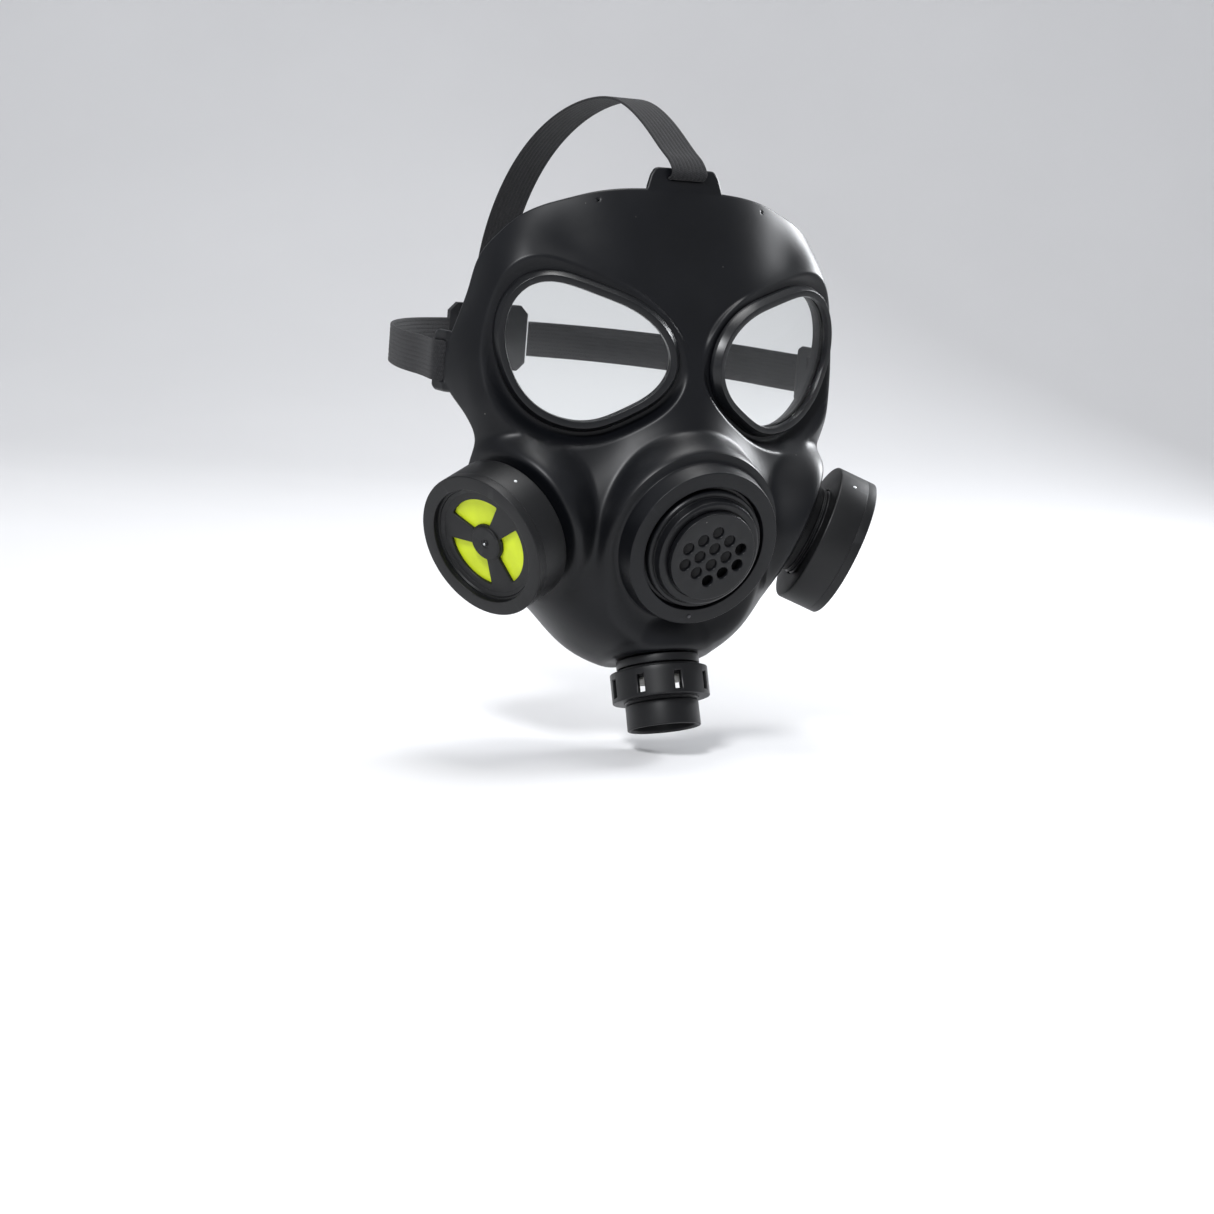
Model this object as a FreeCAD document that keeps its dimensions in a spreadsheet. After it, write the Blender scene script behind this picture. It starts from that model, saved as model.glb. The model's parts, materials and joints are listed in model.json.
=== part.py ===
import FreeCAD, Part
import os
import math
import Sketcher
from FreeCAD import Vector, Placement, Rotation, Matrix

# Full-face respirator mask: moulded rubber face shell, two side filter canisters, front speech unit,
# chin outlet and an elastic head harness in its worn shape.
# Frame: +X is the wearer's left, -Y is the front, +Z is up. The origin lies midway between the two lens centres.

doc = FreeCAD.newDocument("respirator")
sheet = doc.addObject("Spreadsheet::Sheet", "Dims")

VALUES = [
    # face shell
    ("shell_thick", 2.3), ("land_depth", 5.0), ("land_over", 0.5),
    ("tab_base_half", 18.0), ("tab_top_half", 15.0), ("tab_base_z", 70.5), ("tab_top_z", 82.2), ("tab_y_base", 8.2), ("tab_thick", 2.6),
    ("slot_half", 9.4), ("slot_low", 77.4), ("slot_high", 80.0),
    ("side_slot_y", 40.6), ("side_slot_gap", 3.6), ("side_slot_z", -4.8), ("side_slot_tall", 18.6),
    ("side_tab_x", 92.2), ("side_tab_end", 50.5), ("side_tab_tall", 24.0), ("hole_rad", 1.0), ("hole_x", 40.1), ("hole_y", 10.95), ("hole_z", 67.4),
    # canister position: centre of the outer face, and the axis by azimuth from the front and elevation
    ("can_cx", 89.64), ("can_cy", -3.41), ("can_cz", -77.03), ("can_azim", 66.5), ("can_elev", -21.05),
    ("can_rad", 31.5), ("can_len", 17.85), ("can_wall", 2.0), ("can_face_in", 25.4), ("can_recess", 3.8), ("can_plate", 1.6),
    ("can_cover_deep", 4.2), ("skirt_out", 29.4), ("skirt_in", 27.3), ("skirt_end", 10.9),
    ("tre_out", 19.5), ("tre_in", 8.2), ("tre_angle", 80.0), ("hub_rad", 7.6), ("hub_proud", 0.9), ("pip_rad", 0.9), ("pip_proud", 0.5),
    ("rear_wall", 1.8), ("socket_in", 20.5), ("socket_out", 23.2), ("socket_deep", 11.9),
    ("disc_rad", 27.0), ("disc_thick", 0.9), ("pad_thick", 1.6), ("bed_thick", 2.5),
    ("screen_rad", 29.2), ("screen_thick", 0.7), ("screen_hole", 1.5),
    # canister neck on the mask
    ("neck_out", 20.2), ("neck_in", 16.5), ("neck_top", 12.7), ("neck_end", 33.7), ("pod_plane", 25.0), ("pod_rad", 27.0), ("pod_under", 28.2),
    ("neck_flange", 23.0), ("neck_flange_t", 1.1), ("neck_bore", 20.5), ("nut_rad", 26.0), ("nut_thick", 3.0),
    ("gasket_in", 16.8), ("gasket_thick", 0.7),
    ("seat_rad", 16.45), ("seat_top", 27.7), ("seat_thick", 1.6), ("seat_hub", 3.6), ("valve_rad", 15.2), ("valve_thick", 0.8), ("stem_rad", 1.6),
    # speech unit
    ("sp_y", -32.93), ("sp_z", -72.96), ("sp_tilt", 14.7), ("boss_top_rad", 34.5), ("boss_base_rad", 36.2), ("boss_deep", 11.0), ("boss_bore", 27.75),
    ("sp_out", 27.6), ("sp_ring_out", 26.3), ("sp_ring_in", 24.5), ("sp_ring_up", 1.0), ("sp_wall", 22.8), ("sp_step", 5.0), ("sp_hole", 17.3),
    ("sp_inner", 20.8), ("sp_back", 13.2), ("plate_rad", 19.6), ("plate_top", 8.0), ("plate_thick", 2.0), ("plate_skirt", 1.4),
    ("grille_hole", 2.6), ("grille_pitch", 7.27), ("dia_rad", 20.6), ("dia_thick", 0.4), ("dgas_in", 17.6), ("dgas_thick", 0.7),
    ("clamp_in", 16.6), ("clamp_end", 2.2), ("ring_nut_out", 32.5), ("ring_nut_thick", 2.2),
    ("screw_at", 31.1), ("screw_rad", 1.1), ("screw_long", 7.0),
    # chin outlet: start point and tilt of the axis from straight down, towards the front
    ("out_y", -1.4), ("out_z", -126.1), ("out_tilt", 22.0), ("flange_rad", 18.0), ("flange_end", 4.0), ("throat_rad", 16.5), ("throat_bore", 11.0),
    ("bead_rad", 17.5), ("port_end", 9.0), ("port_up", 9.5), ("port_neck", 13.4), ("port_nut_rad", 18.0), ("port_nut_thick", 3.0),
    ("ex_valve_rad", 13.4), ("ex_valve_thick", 0.8),
    ("collar_rad", 21.2), ("collar_in", 18.5), ("collar_top", 5.4), ("collar_end", 18.5), ("collar_lip", 1.5), ("collar_lip_rad", 16.8),
    ("cslot_wide", 3.3), ("cslot_low", 8.6), ("cslot_high", 16.4), ("cslot_turn", 7.1),
    ("spig_rad", 16.0), ("spig_bore", 13.6), ("spig_end", 30.7), ("spig_flange", 18.3), ("spig_flange_t", 1.1), ("collar_floor", 1.2),
    # lenses
    ("lens_cx", 53.26), ("lens_azim", 20.18), ("lens_elev", -0.95), ("bezel_wide", 5.2), ("bezel_deep", 5.0), ("sleeve_over", 3.3), ("sleeve_deep", 11.0),
    ("lens_over", 1.7), ("lens_face", 2.4), ("lens_thick", 2.0), ("seal_thick", 0.9), ("keeper_thick", 2.4), ("clamp_over", 7.6), ("clamp_thick", 2.2),
    # harness
    ("web_wide", 17.0), ("web_thick", 1.3), ("pad_wide", 42.0), ("pad_tall", 32.0), ("pad_deep", 3.4), ("pad_y", 191.5),
]
VAL = {}
row = 1
for name, value in VALUES:
    sheet.set("A%d" % row, name)
    sheet.set("B%d" % row, repr(value))
    sheet.setAlias("B%d" % row, name)
    VAL[name] = float(value)
    row += 1
# outline of the right-hand lens opening: radius every 30 degrees, from outward, turning up
LENS_RADII = [25.4, 31.4, 35.4, 31.2, 30.9, 37.6, 42.0, 32.3, 26.7, 23.5, 22.3, 22.7]
for k, value in enumerate(LENS_RADII):
    sheet.set("A%d" % row, "outline_%c" % (97 + k))
    sheet.set("B%d" % row, repr(value))
    sheet.setAlias("B%d" % row, "outline_%c" % (97 + k))
    row += 1
doc.recompute()


def dim(name):
    return float(sheet.get(name))


class Q:
    """A size with the sheet formula that gives it."""

    def __init__(self, val, text):
        self.val, self.text = val, text

    def _mix(self, other, op, flip=False):
        o = other if isinstance(other, Q) else Q(float(other), repr(float(other)))
        a, b = (o, self) if flip else (self, o)
        v = {"+": a.val + b.val, "-": a.val - b.val, "*": a.val * b.val, "/": a.val / b.val if b.val else 0.0}[op]
        return Q(v, "(%s %s %s)" % (a.text, op, b.text))

    def __add__(self, o): return self._mix(o, "+")
    def __radd__(self, o): return self._mix(o, "+", True)
    def __sub__(self, o): return self._mix(o, "-")
    def __rsub__(self, o): return self._mix(o, "-", True)
    def __mul__(self, o): return self._mix(o, "*")
    def __rmul__(self, o): return self._mix(o, "*", True)
    def __truediv__(self, o): return self._mix(o, "/")
    def __neg__(self): return self._mix(-1.0, "*")


def q(name):
    return Q(VAL[name], "Dims." + name)


NODES = []          # every sub-part, in order


def node(obj, label):
    obj.Label = label
    NODES.append(obj)
    return obj


def axes_place(origin, zdir, xdir=None):
    """Placement whose local Z is zdir and whose local X is level (or xdir)."""
    z = Vector(*zdir).normalize()
    x = Vector(*xdir) if xdir else Vector(0, 0, 1).cross(z)
    x = (x - z * x.dot(z)).normalize()
    y = z.cross(x)
    m = Matrix(x.x, y.x, z.x, origin[0], x.y, y.y, z.y, origin[1], x.z, y.z, z.z, origin[2], 0, 0, 0, 1)
    return Placement(m)


def plane_of(body, role):
    for f in body.Origin.OriginFeatures:
        if f.Role == role:
            return f


def value(x):
    return x.val if isinstance(x, Q) else float(x)


def bind(sk, index, x):
    if isinstance(x, Q):
        sk.setExpression("Constraints[%d]" % index, x.text)


def outline(sk, pts):
    """Closed run of straight lines whose corners are placed by sheet sizes."""
    n = len(pts)
    base = sk.GeometryCount
    for i in range(n):
        a, b = pts[i], pts[(i + 1) % n]
        sk.addGeometry(Part.LineSegment(Vector(value(a[0]), value(a[1]), 0), Vector(value(b[0]), value(b[1]), 0)), False)
    for i in range(n):
        sk.addConstraint(Sketcher.Constraint("Coincident", base + i, 2, base + (i + 1) % n, 1))
    for i in range(n):
        for axis, kind, line in ((0, "DistanceX", -2), (1, "DistanceY", -1)):
            v = pts[i][axis]
            if abs(value(v)) < 1e-9:
                sk.addConstraint(Sketcher.Constraint("PointOnObject", base + i, 1, line))
            else:
                k = sk.addConstraint(Sketcher.Constraint(kind, -1, 1, base + i, 1, value(v)))
                bind(sk, k, v)


def sketch(body, name, role="XY_Plane"):
    sk = body.newObject("Sketcher::SketchObject", name)
    sk.AttachmentSupport = (plane_of(body, role), [""])
    sk.MapMode = "FlatFace"
    return sk


def turned(label, pts, place):
    """A part of revolution: pts are (radius, height along the axis)."""
    body = doc.addObject("PartDesign::Body", label)
    sk = sketch(body, label + "_profile", "XZ_Plane")
    outline(sk, pts)
    doc.recompute()
    rev = body.newObject("PartDesign::Revolution", label + "_turn")
    rev.Profile = sk
    rev.ReferenceAxis = (sk, ["V_Axis"])
    rev.Angle = 360.0
    sk.Visibility = False
    doc.recompute()
    body.Placement = place
    return node(body, label)


def ring(label, r_in, r_out, z_low, z_high, place):
    return turned(label, [(r_in, z_low), (r_out, z_low), (r_out, z_high), (r_in, z_high)], place)


def disc(label, r_out, z_low, z_high, place):
    return turned(label, [(0, z_low), (r_out, z_low), (r_out, z_high), (0, z_high)], place)


def cut_through(body, name, make, low, high):
    """Pocket the closed shapes that make() draws, from below the part to above it, both ways from the XY plane."""
    before = body.Shape.Volume
    sk = sketch(body, name + "_sketch")
    make(sk)
    doc.recompute()
    pocket = body.newObject("PartDesign::Pocket", name)
    pocket.Profile = sk
    pocket.Type = "Length"
    pocket.Length = 80.0
    pocket.Midplane = True
    doc.recompute()
    if body.Shape.Volume > before - 0.05:
        raise RuntimeError("pocket %s removes nothing" % name)
    return pocket


def circle_at(sk, x, y, r):
    g = sk.addGeometry(Part.Circle(Vector(value(x), value(y), 0), Vector(0, 0, 1), value(r)), False)
    for axis, kind, line, v in ((0, "DistanceX", -2, x), (1, "DistanceY", -1, y)):
        if abs(value(v)) < 1e-9:
            sk.addConstraint(Sketcher.Constraint("PointOnObject", g, 3, line))
        else:
            k = sk.addConstraint(Sketcher.Constraint(kind, -1, 1, g, 3, value(v)))
            bind(sk, k, v)
    k = sk.addConstraint(Sketcher.Constraint("Radius", g, value(r)))
    bind(sk, k, r)
    return g


def sector(sk, r_in, r_out, mid_deg, span_deg):
    """Ring sector for a window, between two radii."""
    a0, a1 = math.radians(mid_deg - span_deg / 2.0), math.radians(mid_deg + span_deg / 2.0)
    ri, ro = value(r_in), value(r_out)
    c = Vector(0, 0, 0)
    up = Vector(0, 0, 1)
    g0 = sk.addGeometry(Part.ArcOfCircle(Part.Circle(c, up, ro), a0, a1), False)
    g1 = sk.addGeometry(Part.ArcOfCircle(Part.Circle(c, up, ri), a0, a1), False)
    g2 = sk.addGeometry(Part.LineSegment(Vector(ri * math.cos(a0), ri * math.sin(a0), 0), Vector(ro * math.cos(a0), ro * math.sin(a0), 0)), False)
    g3 = sk.addGeometry(Part.LineSegment(Vector(ri * math.cos(a1), ri * math.sin(a1), 0), Vector(ro * math.cos(a1), ro * math.sin(a1), 0)), False)
    for a, pa, b, pb in ((g2, 1, g1, 1), (g2, 2, g0, 1), (g3, 1, g1, 2), (g3, 2, g0, 2)):
        sk.addConstraint(Sketcher.Constraint("Coincident", a, pa, b, pb))
    for g, r in ((g0, r_out), (g1, r_in)):
        sk.addConstraint(Sketcher.Constraint("Coincident", g, 3, -1, 1))
        k = sk.addConstraint(Sketcher.Constraint("Radius", g, value(r)))
        bind(sk, k, r)


def rotate_about(m, p):
    c, s = math.cos(m), math.sin(m)
    return (p[0] * c - p[1] * s, p[0] * s + p[1] * c)


# ------------------------------------------------------------------ axes of the main units
def axis_of(azim, elev, side):
    a, e = math.radians(azim), math.radians(elev)
    return (side * math.sin(a) * math.cos(e), -math.cos(a) * math.cos(e), math.sin(e))


def can_frame(side):
    return (side * dim("can_cx"), dim("can_cy"), dim("can_cz")), axis_of(dim("can_azim"), dim("can_elev"), side)


SP_AXIS = (0.0, -math.cos(math.radians(dim("sp_tilt"))), -math.sin(math.radians(dim("sp_tilt"))))
SP_POS = (0.0, dim("sp_y"), dim("sp_z"))
OUT_AXIS = (0.0, -math.sin(math.radians(dim("out_tilt"))), -math.cos(math.radians(dim("out_tilt"))))
OUT_POS = (0.0, dim("out_y"), dim("out_z"))


# ------------------------------------------------------------------ face shell surface
CENTRE = (0.0, 50.0, -25.0)
FORM = [
    (0, 8.3, 74), (0, 1.5, 50), (0, -5.5, 30), (0, -11.7, 8.5), (0, -15, -8), (0, -20, -24), (0, -27, -42),
    (0, -31, -60), (0, -30, -80), (0, -27, -96), (0, -20, -113), (0, -6, -126), (0, 10, -134), (0, 17, -135),
    (20, 7.5, 75), (40, 10.5, 70.5), (22, 2, 52), (30, -3.5, 32), (45, 5, 56), (55, 5, 45), (62, 14, 62), (69, 12, 50), (77, 25, 51), (72, 9, 40), (62, 1, 34),
    (82, 21, 38), (86, 32, 27), (87, 22, 18),
    (20, -9, 8), (30, -9, 0), (45, -4, 8), (60, 1, 8), (76, 7, 8), (88.5, 20, 0), (91.5, 32, 0), (92.3, 40, -5), (91.5, 36, 6), (91.8, 38, -15),
    (89, 26, -18), (85, 14, -22),
    (13, -14, -12), (20, -14, -24), (32, -9, -28), (46, -5, -30), (60, 0, -32), (73, 6, -34), (82, 16, -36),
    (22, -22, -42), (36, -16, -48), (50, -9, -50), (66, -2, -48), (79, 11, -50), (81.5, 26, -50),
    (36, -20, -66), (50, -14, -68), (62, -4, -68), (74, 8, -69), (80, 20, -70), (79, 33, -70),
    (34, -20, -84), (48, -11, -86), (58, 0, -88), (65, 12, -92), (67, 26, -94), (65, 36, -95),
    (14, -24, -104), (28, -20, -105), (40, -9, -106), (48, 6, -108), (49, 20, -110), (47, 33, -110),
    (14, -12, -121), (26, -6, -121), (33, 6, -123), (35, 22, -124), (20, 6, -130), (20, 17, -132), (8, 8, -133.5), (10, 17, -134.5)]
TOP_EDGE = [(0, 8.3, 74), (18, 8.3, 74), (40, 12, 70.5), (62, 21, 64.5)]
SIDE_EDGE = [(62, 21, 64.5), (71, 24, 58.5), (77.5, 27, 51), (82, 32.5, 38), (85.5, 33.5, 27), (88.5, 34, 18), (90.5, 35.5, 9.5), (91.8, 38, 2.5),
             (92, 39, -5), (91.4, 37.5, -13), (89.7, 32, -19.5), (87, 24.5, -26), (84.5, 21, -33), (82.5, 24, -42), (81, 29, -53),
             (78, 34, -70), (65, 36, -95), (47, 33, -110), (35, 26, -123.5)]
LOW_EDGE = [(0, 17, -135), (15, 18, -133), (26, 20, -129), (35, 26, -123.5)]


def unit(v):
    n = math.sqrt(v[0] * v[0] + v[1] * v[1] + v[2] * v[2])
    return (v[0] / n, v[1] / n, v[2] / n)


def sub(a, b): return (a[0] - b[0], a[1] - b[1], a[2] - b[2])
def add(a, b): return (a[0] + b[0], a[1] + b[1], a[2] + b[2])
def mul(a, k): return (a[0] * k, a[1] * k, a[2] * k)
def dot(a, b): return a[0] * b[0] + a[1] * b[1] + a[2] * b[2]
def cross(a, b): return (a[1] * b[2] - a[2] * b[1], a[2] * b[0] - a[0] * b[2], a[0] * b[1] - a[1] * b[0])


def solve(matrix, right):
    """Gaussian elimination with row exchange."""
    n = len(right)
    m = [list(matrix[i]) + [right[i]] for i in range(n)]
    for i in range(n):
        p = max(range(i, n), key=lambda r: abs(m[r][i]))
        m[i], m[p] = m[p], m[i]
        pivot = m[i][i]
        for r in range(i + 1, n):
            f = m[r][i] / pivot
            if f != 0.0:
                mi, mr = m[i], m[r]
                for c in range(i, n + 1):
                    mr[c] -= f * mi[c]
    out = [0.0] * n
    for i in range(n - 1, -1, -1):
        s = m[i][n]
        for c in range(i + 1, n):
            s -= m[i][c] * out[c]
        out[i] = s / m[i][i]
    return out


def fit_form():
    """Smooth radius over directions from CENTRE, through the form points, the same on both sides."""
    pts = []
    for c in FORM:
        pts.append(c)
        if c[0] > 0:
            pts.append((-c[0], c[1], c[2]))
    dirs, rads = [], []
    for c in pts:
        v = sub(c, CENTRE)
        rads.append(math.sqrt(dot(v, v)))
        dirs.append(unit(v))
    n = len(dirs)
    mat = []
    for i in range(n):
        line = []
        for j in range(n):
            dd = sub(dirs[i], dirs[j])
            line.append(math.sqrt(dot(dd, dd)) ** 3 + (2e-4 if i == j else 0.0))
        line += [1.0, dirs[i][0], dirs[i][1], dirs[i][2]]
        mat.append(line)
    mat.append([1.0] * n + [0.0] * 4)
    for k in range(3):
        mat.append([d[k] for d in dirs] + [0.0] * 4)
    return dirs, solve(mat, rads + [0.0] * 4)


FORM_DIRS, FORM_W = fit_form()


def form_radius(d):
    s = FORM_W[-4] + FORM_W[-3] * d[0] + FORM_W[-2] * d[1] + FORM_W[-1] * d[2]
    for k in range(len(FORM_DIRS)):
        e = sub(d, FORM_DIRS[k])
        s += FORM_W[k] * math.sqrt(dot(e, e)) ** 3
    return s


def smooth(x):
    x = min(1.0, max(0.0, x))
    return x * x * x * (x * (6 * x - 15) + 10)


def along(points, n):
    """n points evenly spaced by length on the smooth line through points."""
    crv = Part.BSplineCurve()
    crv.interpolate([Vector(*p) for p in points])
    e = crv.toShape()
    return [(v.x, v.y, v.z) for v in e.discretize(Number=n)]


def lens_axes(side):
    n = axis_of(dim("lens_azim"), dim("lens_elev"), side)
    x = unit(cross((0, 0, 1), n))
    if side < 0:
        x = mul(x, -1.0)      # local X points outward on both sides
    y = cross(n, x) if side > 0 else cross(x, n)
    return (side * dim("lens_cx"), 0.0, 0.0), n, x, y


def periodic_radius(theta):
    """Periodic cubic through the twelve outline radii."""
    r = [float(sheet.get("outline_%c" % (97 + k))) for k in range(12)]
    step = 2 * math.pi / 12
    return _spline(r, (theta % (2 * math.pi)) / step)


def _spline(r, u):
    global _M
    n = len(r)
    if _M is None:
        mat = [[0.0] * n for _ in range(n)]
        right = []
        for i in range(n):
            mat[i][(i - 1) % n] += 1.0
            mat[i][i] += 4.0
            mat[i][(i + 1) % n] += 1.0
            right.append(6.0 * (r[(i - 1) % n] - 2 * r[i] + r[(i + 1) % n]))
        _M = solve(mat, right)
    i = int(u) % n
    f = u - int(u)
    a, b = r[i], r[(i + 1) % n]
    ma, mb = _M[i], _M[(i + 1) % n]
    g = 1.0 - f
    return g * a + f * b + ((g ** 3 - g) * ma + (f ** 3 - f) * mb) / 6.0


_M = None


def lens_loop(over, count=60):
    """Outline in the lens plane, moved outward by over: (x outward, y up)."""
    raw = []
    for k in range(count):
        th = 2 * math.pi * k / count
        r = periodic_radius(th)
        raw.append((r * math.cos(th), r * math.sin(th)))
    out = []
    for k in range(count):
        a, b = raw[k - 1], raw[(k + 1) % count]
        tx, ty = b[0] - a[0], b[1] - a[1]
        n = math.hypot(tx, ty)
        out.append((raw[k][0] + over * ty / n, raw[k][1] - over * tx / n))
    return out


LENS_POLY = lens_loop(0.0, 60)


def lens_gap(x, y):
    """Signed distance from the lens outline: negative inside."""
    best = 1e9
    inside = False
    n = len(LENS_POLY)
    for i in range(n):
        ax, ay = LENS_POLY[i - 1]
        bx, by = LENS_POLY[i]
        dx, dy = bx - ax, by - ay
        f = max(0.0, min(1.0, ((x - ax) * dx + (y - ay) * dy) / (dx * dx + dy * dy)))
        best = min(best, math.hypot(x - ax - f * dx, y - ay - f * dy))
        if (ay > y) != (by > y) and x < (bx - ax) * (y - ay) / (by - ay) + ax:
            inside = not inside
    return -best if inside else best


def onto(d, r, origin, axis, level, gap, inner, outer):
    """Radius along direction d, drawn onto a unit's flat seat: gap() gives how far a seat point is from the unit."""
    fall = dot(d, axis)
    if fall < 0.25:
        return r
    reach = (dot(sub(origin, CENTRE), axis) + level) / fall
    v = sub(add(CENTRE, mul(d, reach)), origin)
    v = sub(v, mul(axis, dot(v, axis)))
    g = gap(v)
    if g >= outer:
        return r
    w = 1.0 - smooth((g - inner) / (outer - inner))
    return r + w * (reach - r)


def length(v):
    return math.sqrt(dot(v, v))


def shell_radius(d):
    r = form_radius(d)
    side = 1 if d[0] >= 0 else -1
    c, n, x, y = LENS_FRAMES[side]
    r = onto(d, r, c, n, -dim_land, lambda v: lens_gap(dot(v, x), dot(v, y)), 6.5, 15.5)
    o, a = CAN_FRAMES[side]
    r = onto(d, r, o, a, -dim_pod - 0.5, length, dim_pod_rad + 0.5, 40.0)
    r = onto(d, r, SP_POS, SP_AXIS, -8.0, length, 36.5, 48.0)
    r = onto(d, r, OUT_POS, OUT_AXIS, -0.3, length, 18.5, 28.0)
    return r


LENS_FRAMES = {1: lens_axes(1), -1: lens_axes(-1)}
CAN_FRAMES = {1: can_frame(1), -1: can_frame(-1)}
dim_land, dim_pod, dim_pod_rad = dim("land_depth"), dim("pod_plane"), dim("pod_rad")


def shell_point(d):
    return add(CENTRE, mul(d, shell_radius(d)))


def make_shell():
    nu, nv = 35, 47
    half = (nu - 1) // 2
    top = [unit(sub(p, CENTRE)) for p in along(TOP_EDGE, half + 1)]
    low = [unit(sub(p, CENTRE)) for p in along(LOW_EDGE, half + 1)]
    side = [unit(sub(p, CENTRE)) for p in along(SIDE_EDGE, nv)]
    a0 = math.atan2(top[0][2], -top[0][1])
    a1 = math.atan2(low[0][2], -low[0][1])
    mid = [(0.0, -math.cos(a0 + (a1 - a0) * j / (nv - 1)), math.sin(a0 + (a1 - a0) * j / (nv - 1))) for j in range(nv)]
    rows = []
    for j in range(nv):
        v = j / (nv - 1.0)
        line = []
        for i in range(half + 1):
            u = i / float(half)
            # blend of the four border lines
            s = add(mul(mid[j], 1 - u), mul(side[j], u))
            t = add(mul(top[i], 1 - v), mul(low[i], v))
            c = add(add(mul(top[0], (1 - u) * (1 - v)), mul(side[0], u * (1 - v))), add(mul(low[0], (1 - u) * v), mul(side[-1], u * v)))
            line.append(unit(sub(add(s, t), c)))
        rows.append(line)
    pts = []
    for j in range(nv):
        right = [shell_point(d) for d in rows[j]]
        right[0] = (0.0, right[0][1], right[0][2])
        left = [(-p[0], p[1], p[2]) for p in right[:0:-1]]
        pts.append(left + right)
    inner = []
    thick = dim("shell_thick")
    for j in range(nv):
        line = []
        for i in range(nu):
            a = pts[max(j - 1, 0)][i]
            b = pts[min(j + 1, nv - 1)][i]
            c = pts[j][max(i - 1, 0)]
            d = pts[j][min(i + 1, nu - 1)]
            n = unit(cross(sub(b, a), sub(d, c)))
            if dot(n, sub(pts[j][i], CENTRE)) < 0:
                n = mul(n, -1)
            if i == half:
                n = unit((0.0, n[1], n[2]))
            line.append(sub(pts[j][i], mul(n, thick)))
        inner.append(line)
    faces = []
    borders = []
    for grid in (pts, inner):
        srf = Part.BSplineSurface()
        srf.interpolate([[Vector(*p) for p in line] for line in grid])
        faces.append(srf.toShape())
        u0, u1, v0, v1 = srf.bounds()
        borders.append([srf.uIso(u0).toShape(), srf.uIso(u1).toShape(), srf.vIso(v0).toShape(), srf.vIso(v1).toShape()])
    walls = [Part.makeRuledSurface(borders[0][k], borders[1][k]) for k in range(4)]
    shell = Part.makeShell([f for s in faces + walls for f in s.Faces])
    shell.sewShape()
    solid = Part.makeSolid(shell)
    if solid.Volume < 0:
        solid.reverse()
    return solid, pts


def tool_cylinder(pos, axis, radius, low, high):
    p = add(pos, mul(axis, low))
    return Part.makeCylinder(radius, high - low, Vector(*p), Vector(*axis))


def tool_cone(pos, axis, r_low, r_high, low, high):
    p = add(pos, mul(axis, low))
    return Part.makeCone(r_low, r_high, high - low, Vector(*p), Vector(*axis))


def loop_prism(side, over, low, high):
    """Solid with the lens outline as its section, between two depths along the lens axis."""
    c, n, x, y = lens_axes(side)
    base = add(c, mul(n, low))
    pts = [Vector(*add(base, add(mul(x, px), mul(y, py)))) for px, py in lens_loop(over)]
    crv = Part.BSplineCurve()
    crv.interpolate(pts, PeriodicFlag=True)
    face = Part.Face(Part.Wire([crv.toShape()]))
    return face.extrude(Vector(*mul(n, high - low)))


def feature(label, shape):
    f = doc.addObject("Part::Feature", label)
    f.Shape = shape
    f.Placement = Placement()
    return node(f, label)


shell_solid, SHELL_GRID = make_shell()
if not shell_solid.isValid():
    shell_solid.fix(0.01, 0.01, 0.01)
# forehead tab for the crown strap
tab_pts = [(-dim("tab_base_half"), dim("tab_base_z")), (dim("tab_base_half"), dim("tab_base_z")), (dim("tab_top_half"), dim("tab_top_z")), (-dim("tab_top_half"), dim("tab_top_z"))]
tab_wire = Part.makePolygon([Vector(p[0], 0, p[1]) for p in tab_pts + tab_pts[:1]])
tab = Part.Face(tab_wire).extrude(Vector(0, dim("tab_thick"), 0))
tab_slot = Part.makeBox(2 * dim("slot_half"), 20, dim("slot_high") - dim("slot_low"), Vector(-dim("slot_half"), -10, dim("slot_low")))
tab = tab.cut(tab_slot)
tab.rotate(Vector(0, 0, dim("tab_base_z")), Vector(1, 0, 0), -10.0)
tab.translate(Vector(0, dim("tab_y_base") - 0.6, 0))
pieces = [tab]
for side in (1, -1):
    # temple tab with the slot for the side strap
    z0, tall = dim("side_slot_z"), dim("side_tab_tall")
    prof = [(30.0, -tall / 2 - 2.0), (40.0, -tall / 2), (dim("side_tab_end") - 1.5, -tall / 2), (dim("side_tab_end"), -tall / 2 + 1.5),
            (dim("side_tab_end"), tall / 2 - 1.5), (dim("side_tab_end") - 1.5, tall / 2), (40.0, tall / 2), (30.0, tall / 2 + 3.0)]
    ear = Part.Face(Part.makePolygon([Vector(dim("side_tab_x") - dim("shell_thick"), y, z0 + z) for y, z in prof + prof[:1]])).extrude(Vector(dim("shell_thick"), 0, 0))
    if side < 0:
        ear = ear.mirror(Vector(0, 0, 0), Vector(1, 0, 0))
    pieces.append(ear)
for side in (1, -1):
    o, a = can_frame(side)
    pieces.append(tool_cylinder(o, a, dim("pod_rad") + 1.2, -dim("pod_under"), -dim("pod_plane")))
pieces.append(tool_cone(SP_POS, SP_AXIS, dim("boss_base_rad"), dim("boss_top_rad"), -dim("boss_deep"), 0.0))
pieces.append(tool_cylinder(OUT_POS, OUT_AXIS, 17.2, -3.2, 0.15))
body_shape = shell_solid.fuse(pieces)
cuts = []
for side in (1, -1):
    o, a = can_frame(side)
    cuts.append(tool_cylinder(o, a, dim("neck_bore"), -60.0, 5.0))
    cuts.append(loop_prism(side, dim("sleeve_over") + 0.3, -28.0, 20.0))
    cuts.append(Part.makeBox(12, dim("side_slot_gap"), dim("side_slot_tall"), Vector(side * 92.0 - 6.0, dim("side_slot_y") - dim("side_slot_gap") / 2, dim("side_slot_z") - dim("side_slot_tall") / 2)))
    cuts.append(tool_cylinder((side * dim("hole_x"), dim("hole_y"), dim("hole_z")), (0, -1, 0), dim("hole_rad"), -12, 12))
cuts.append(tool_cylinder(SP_POS, SP_AXIS, dim("boss_bore"), -40.0, 5.0))
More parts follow.
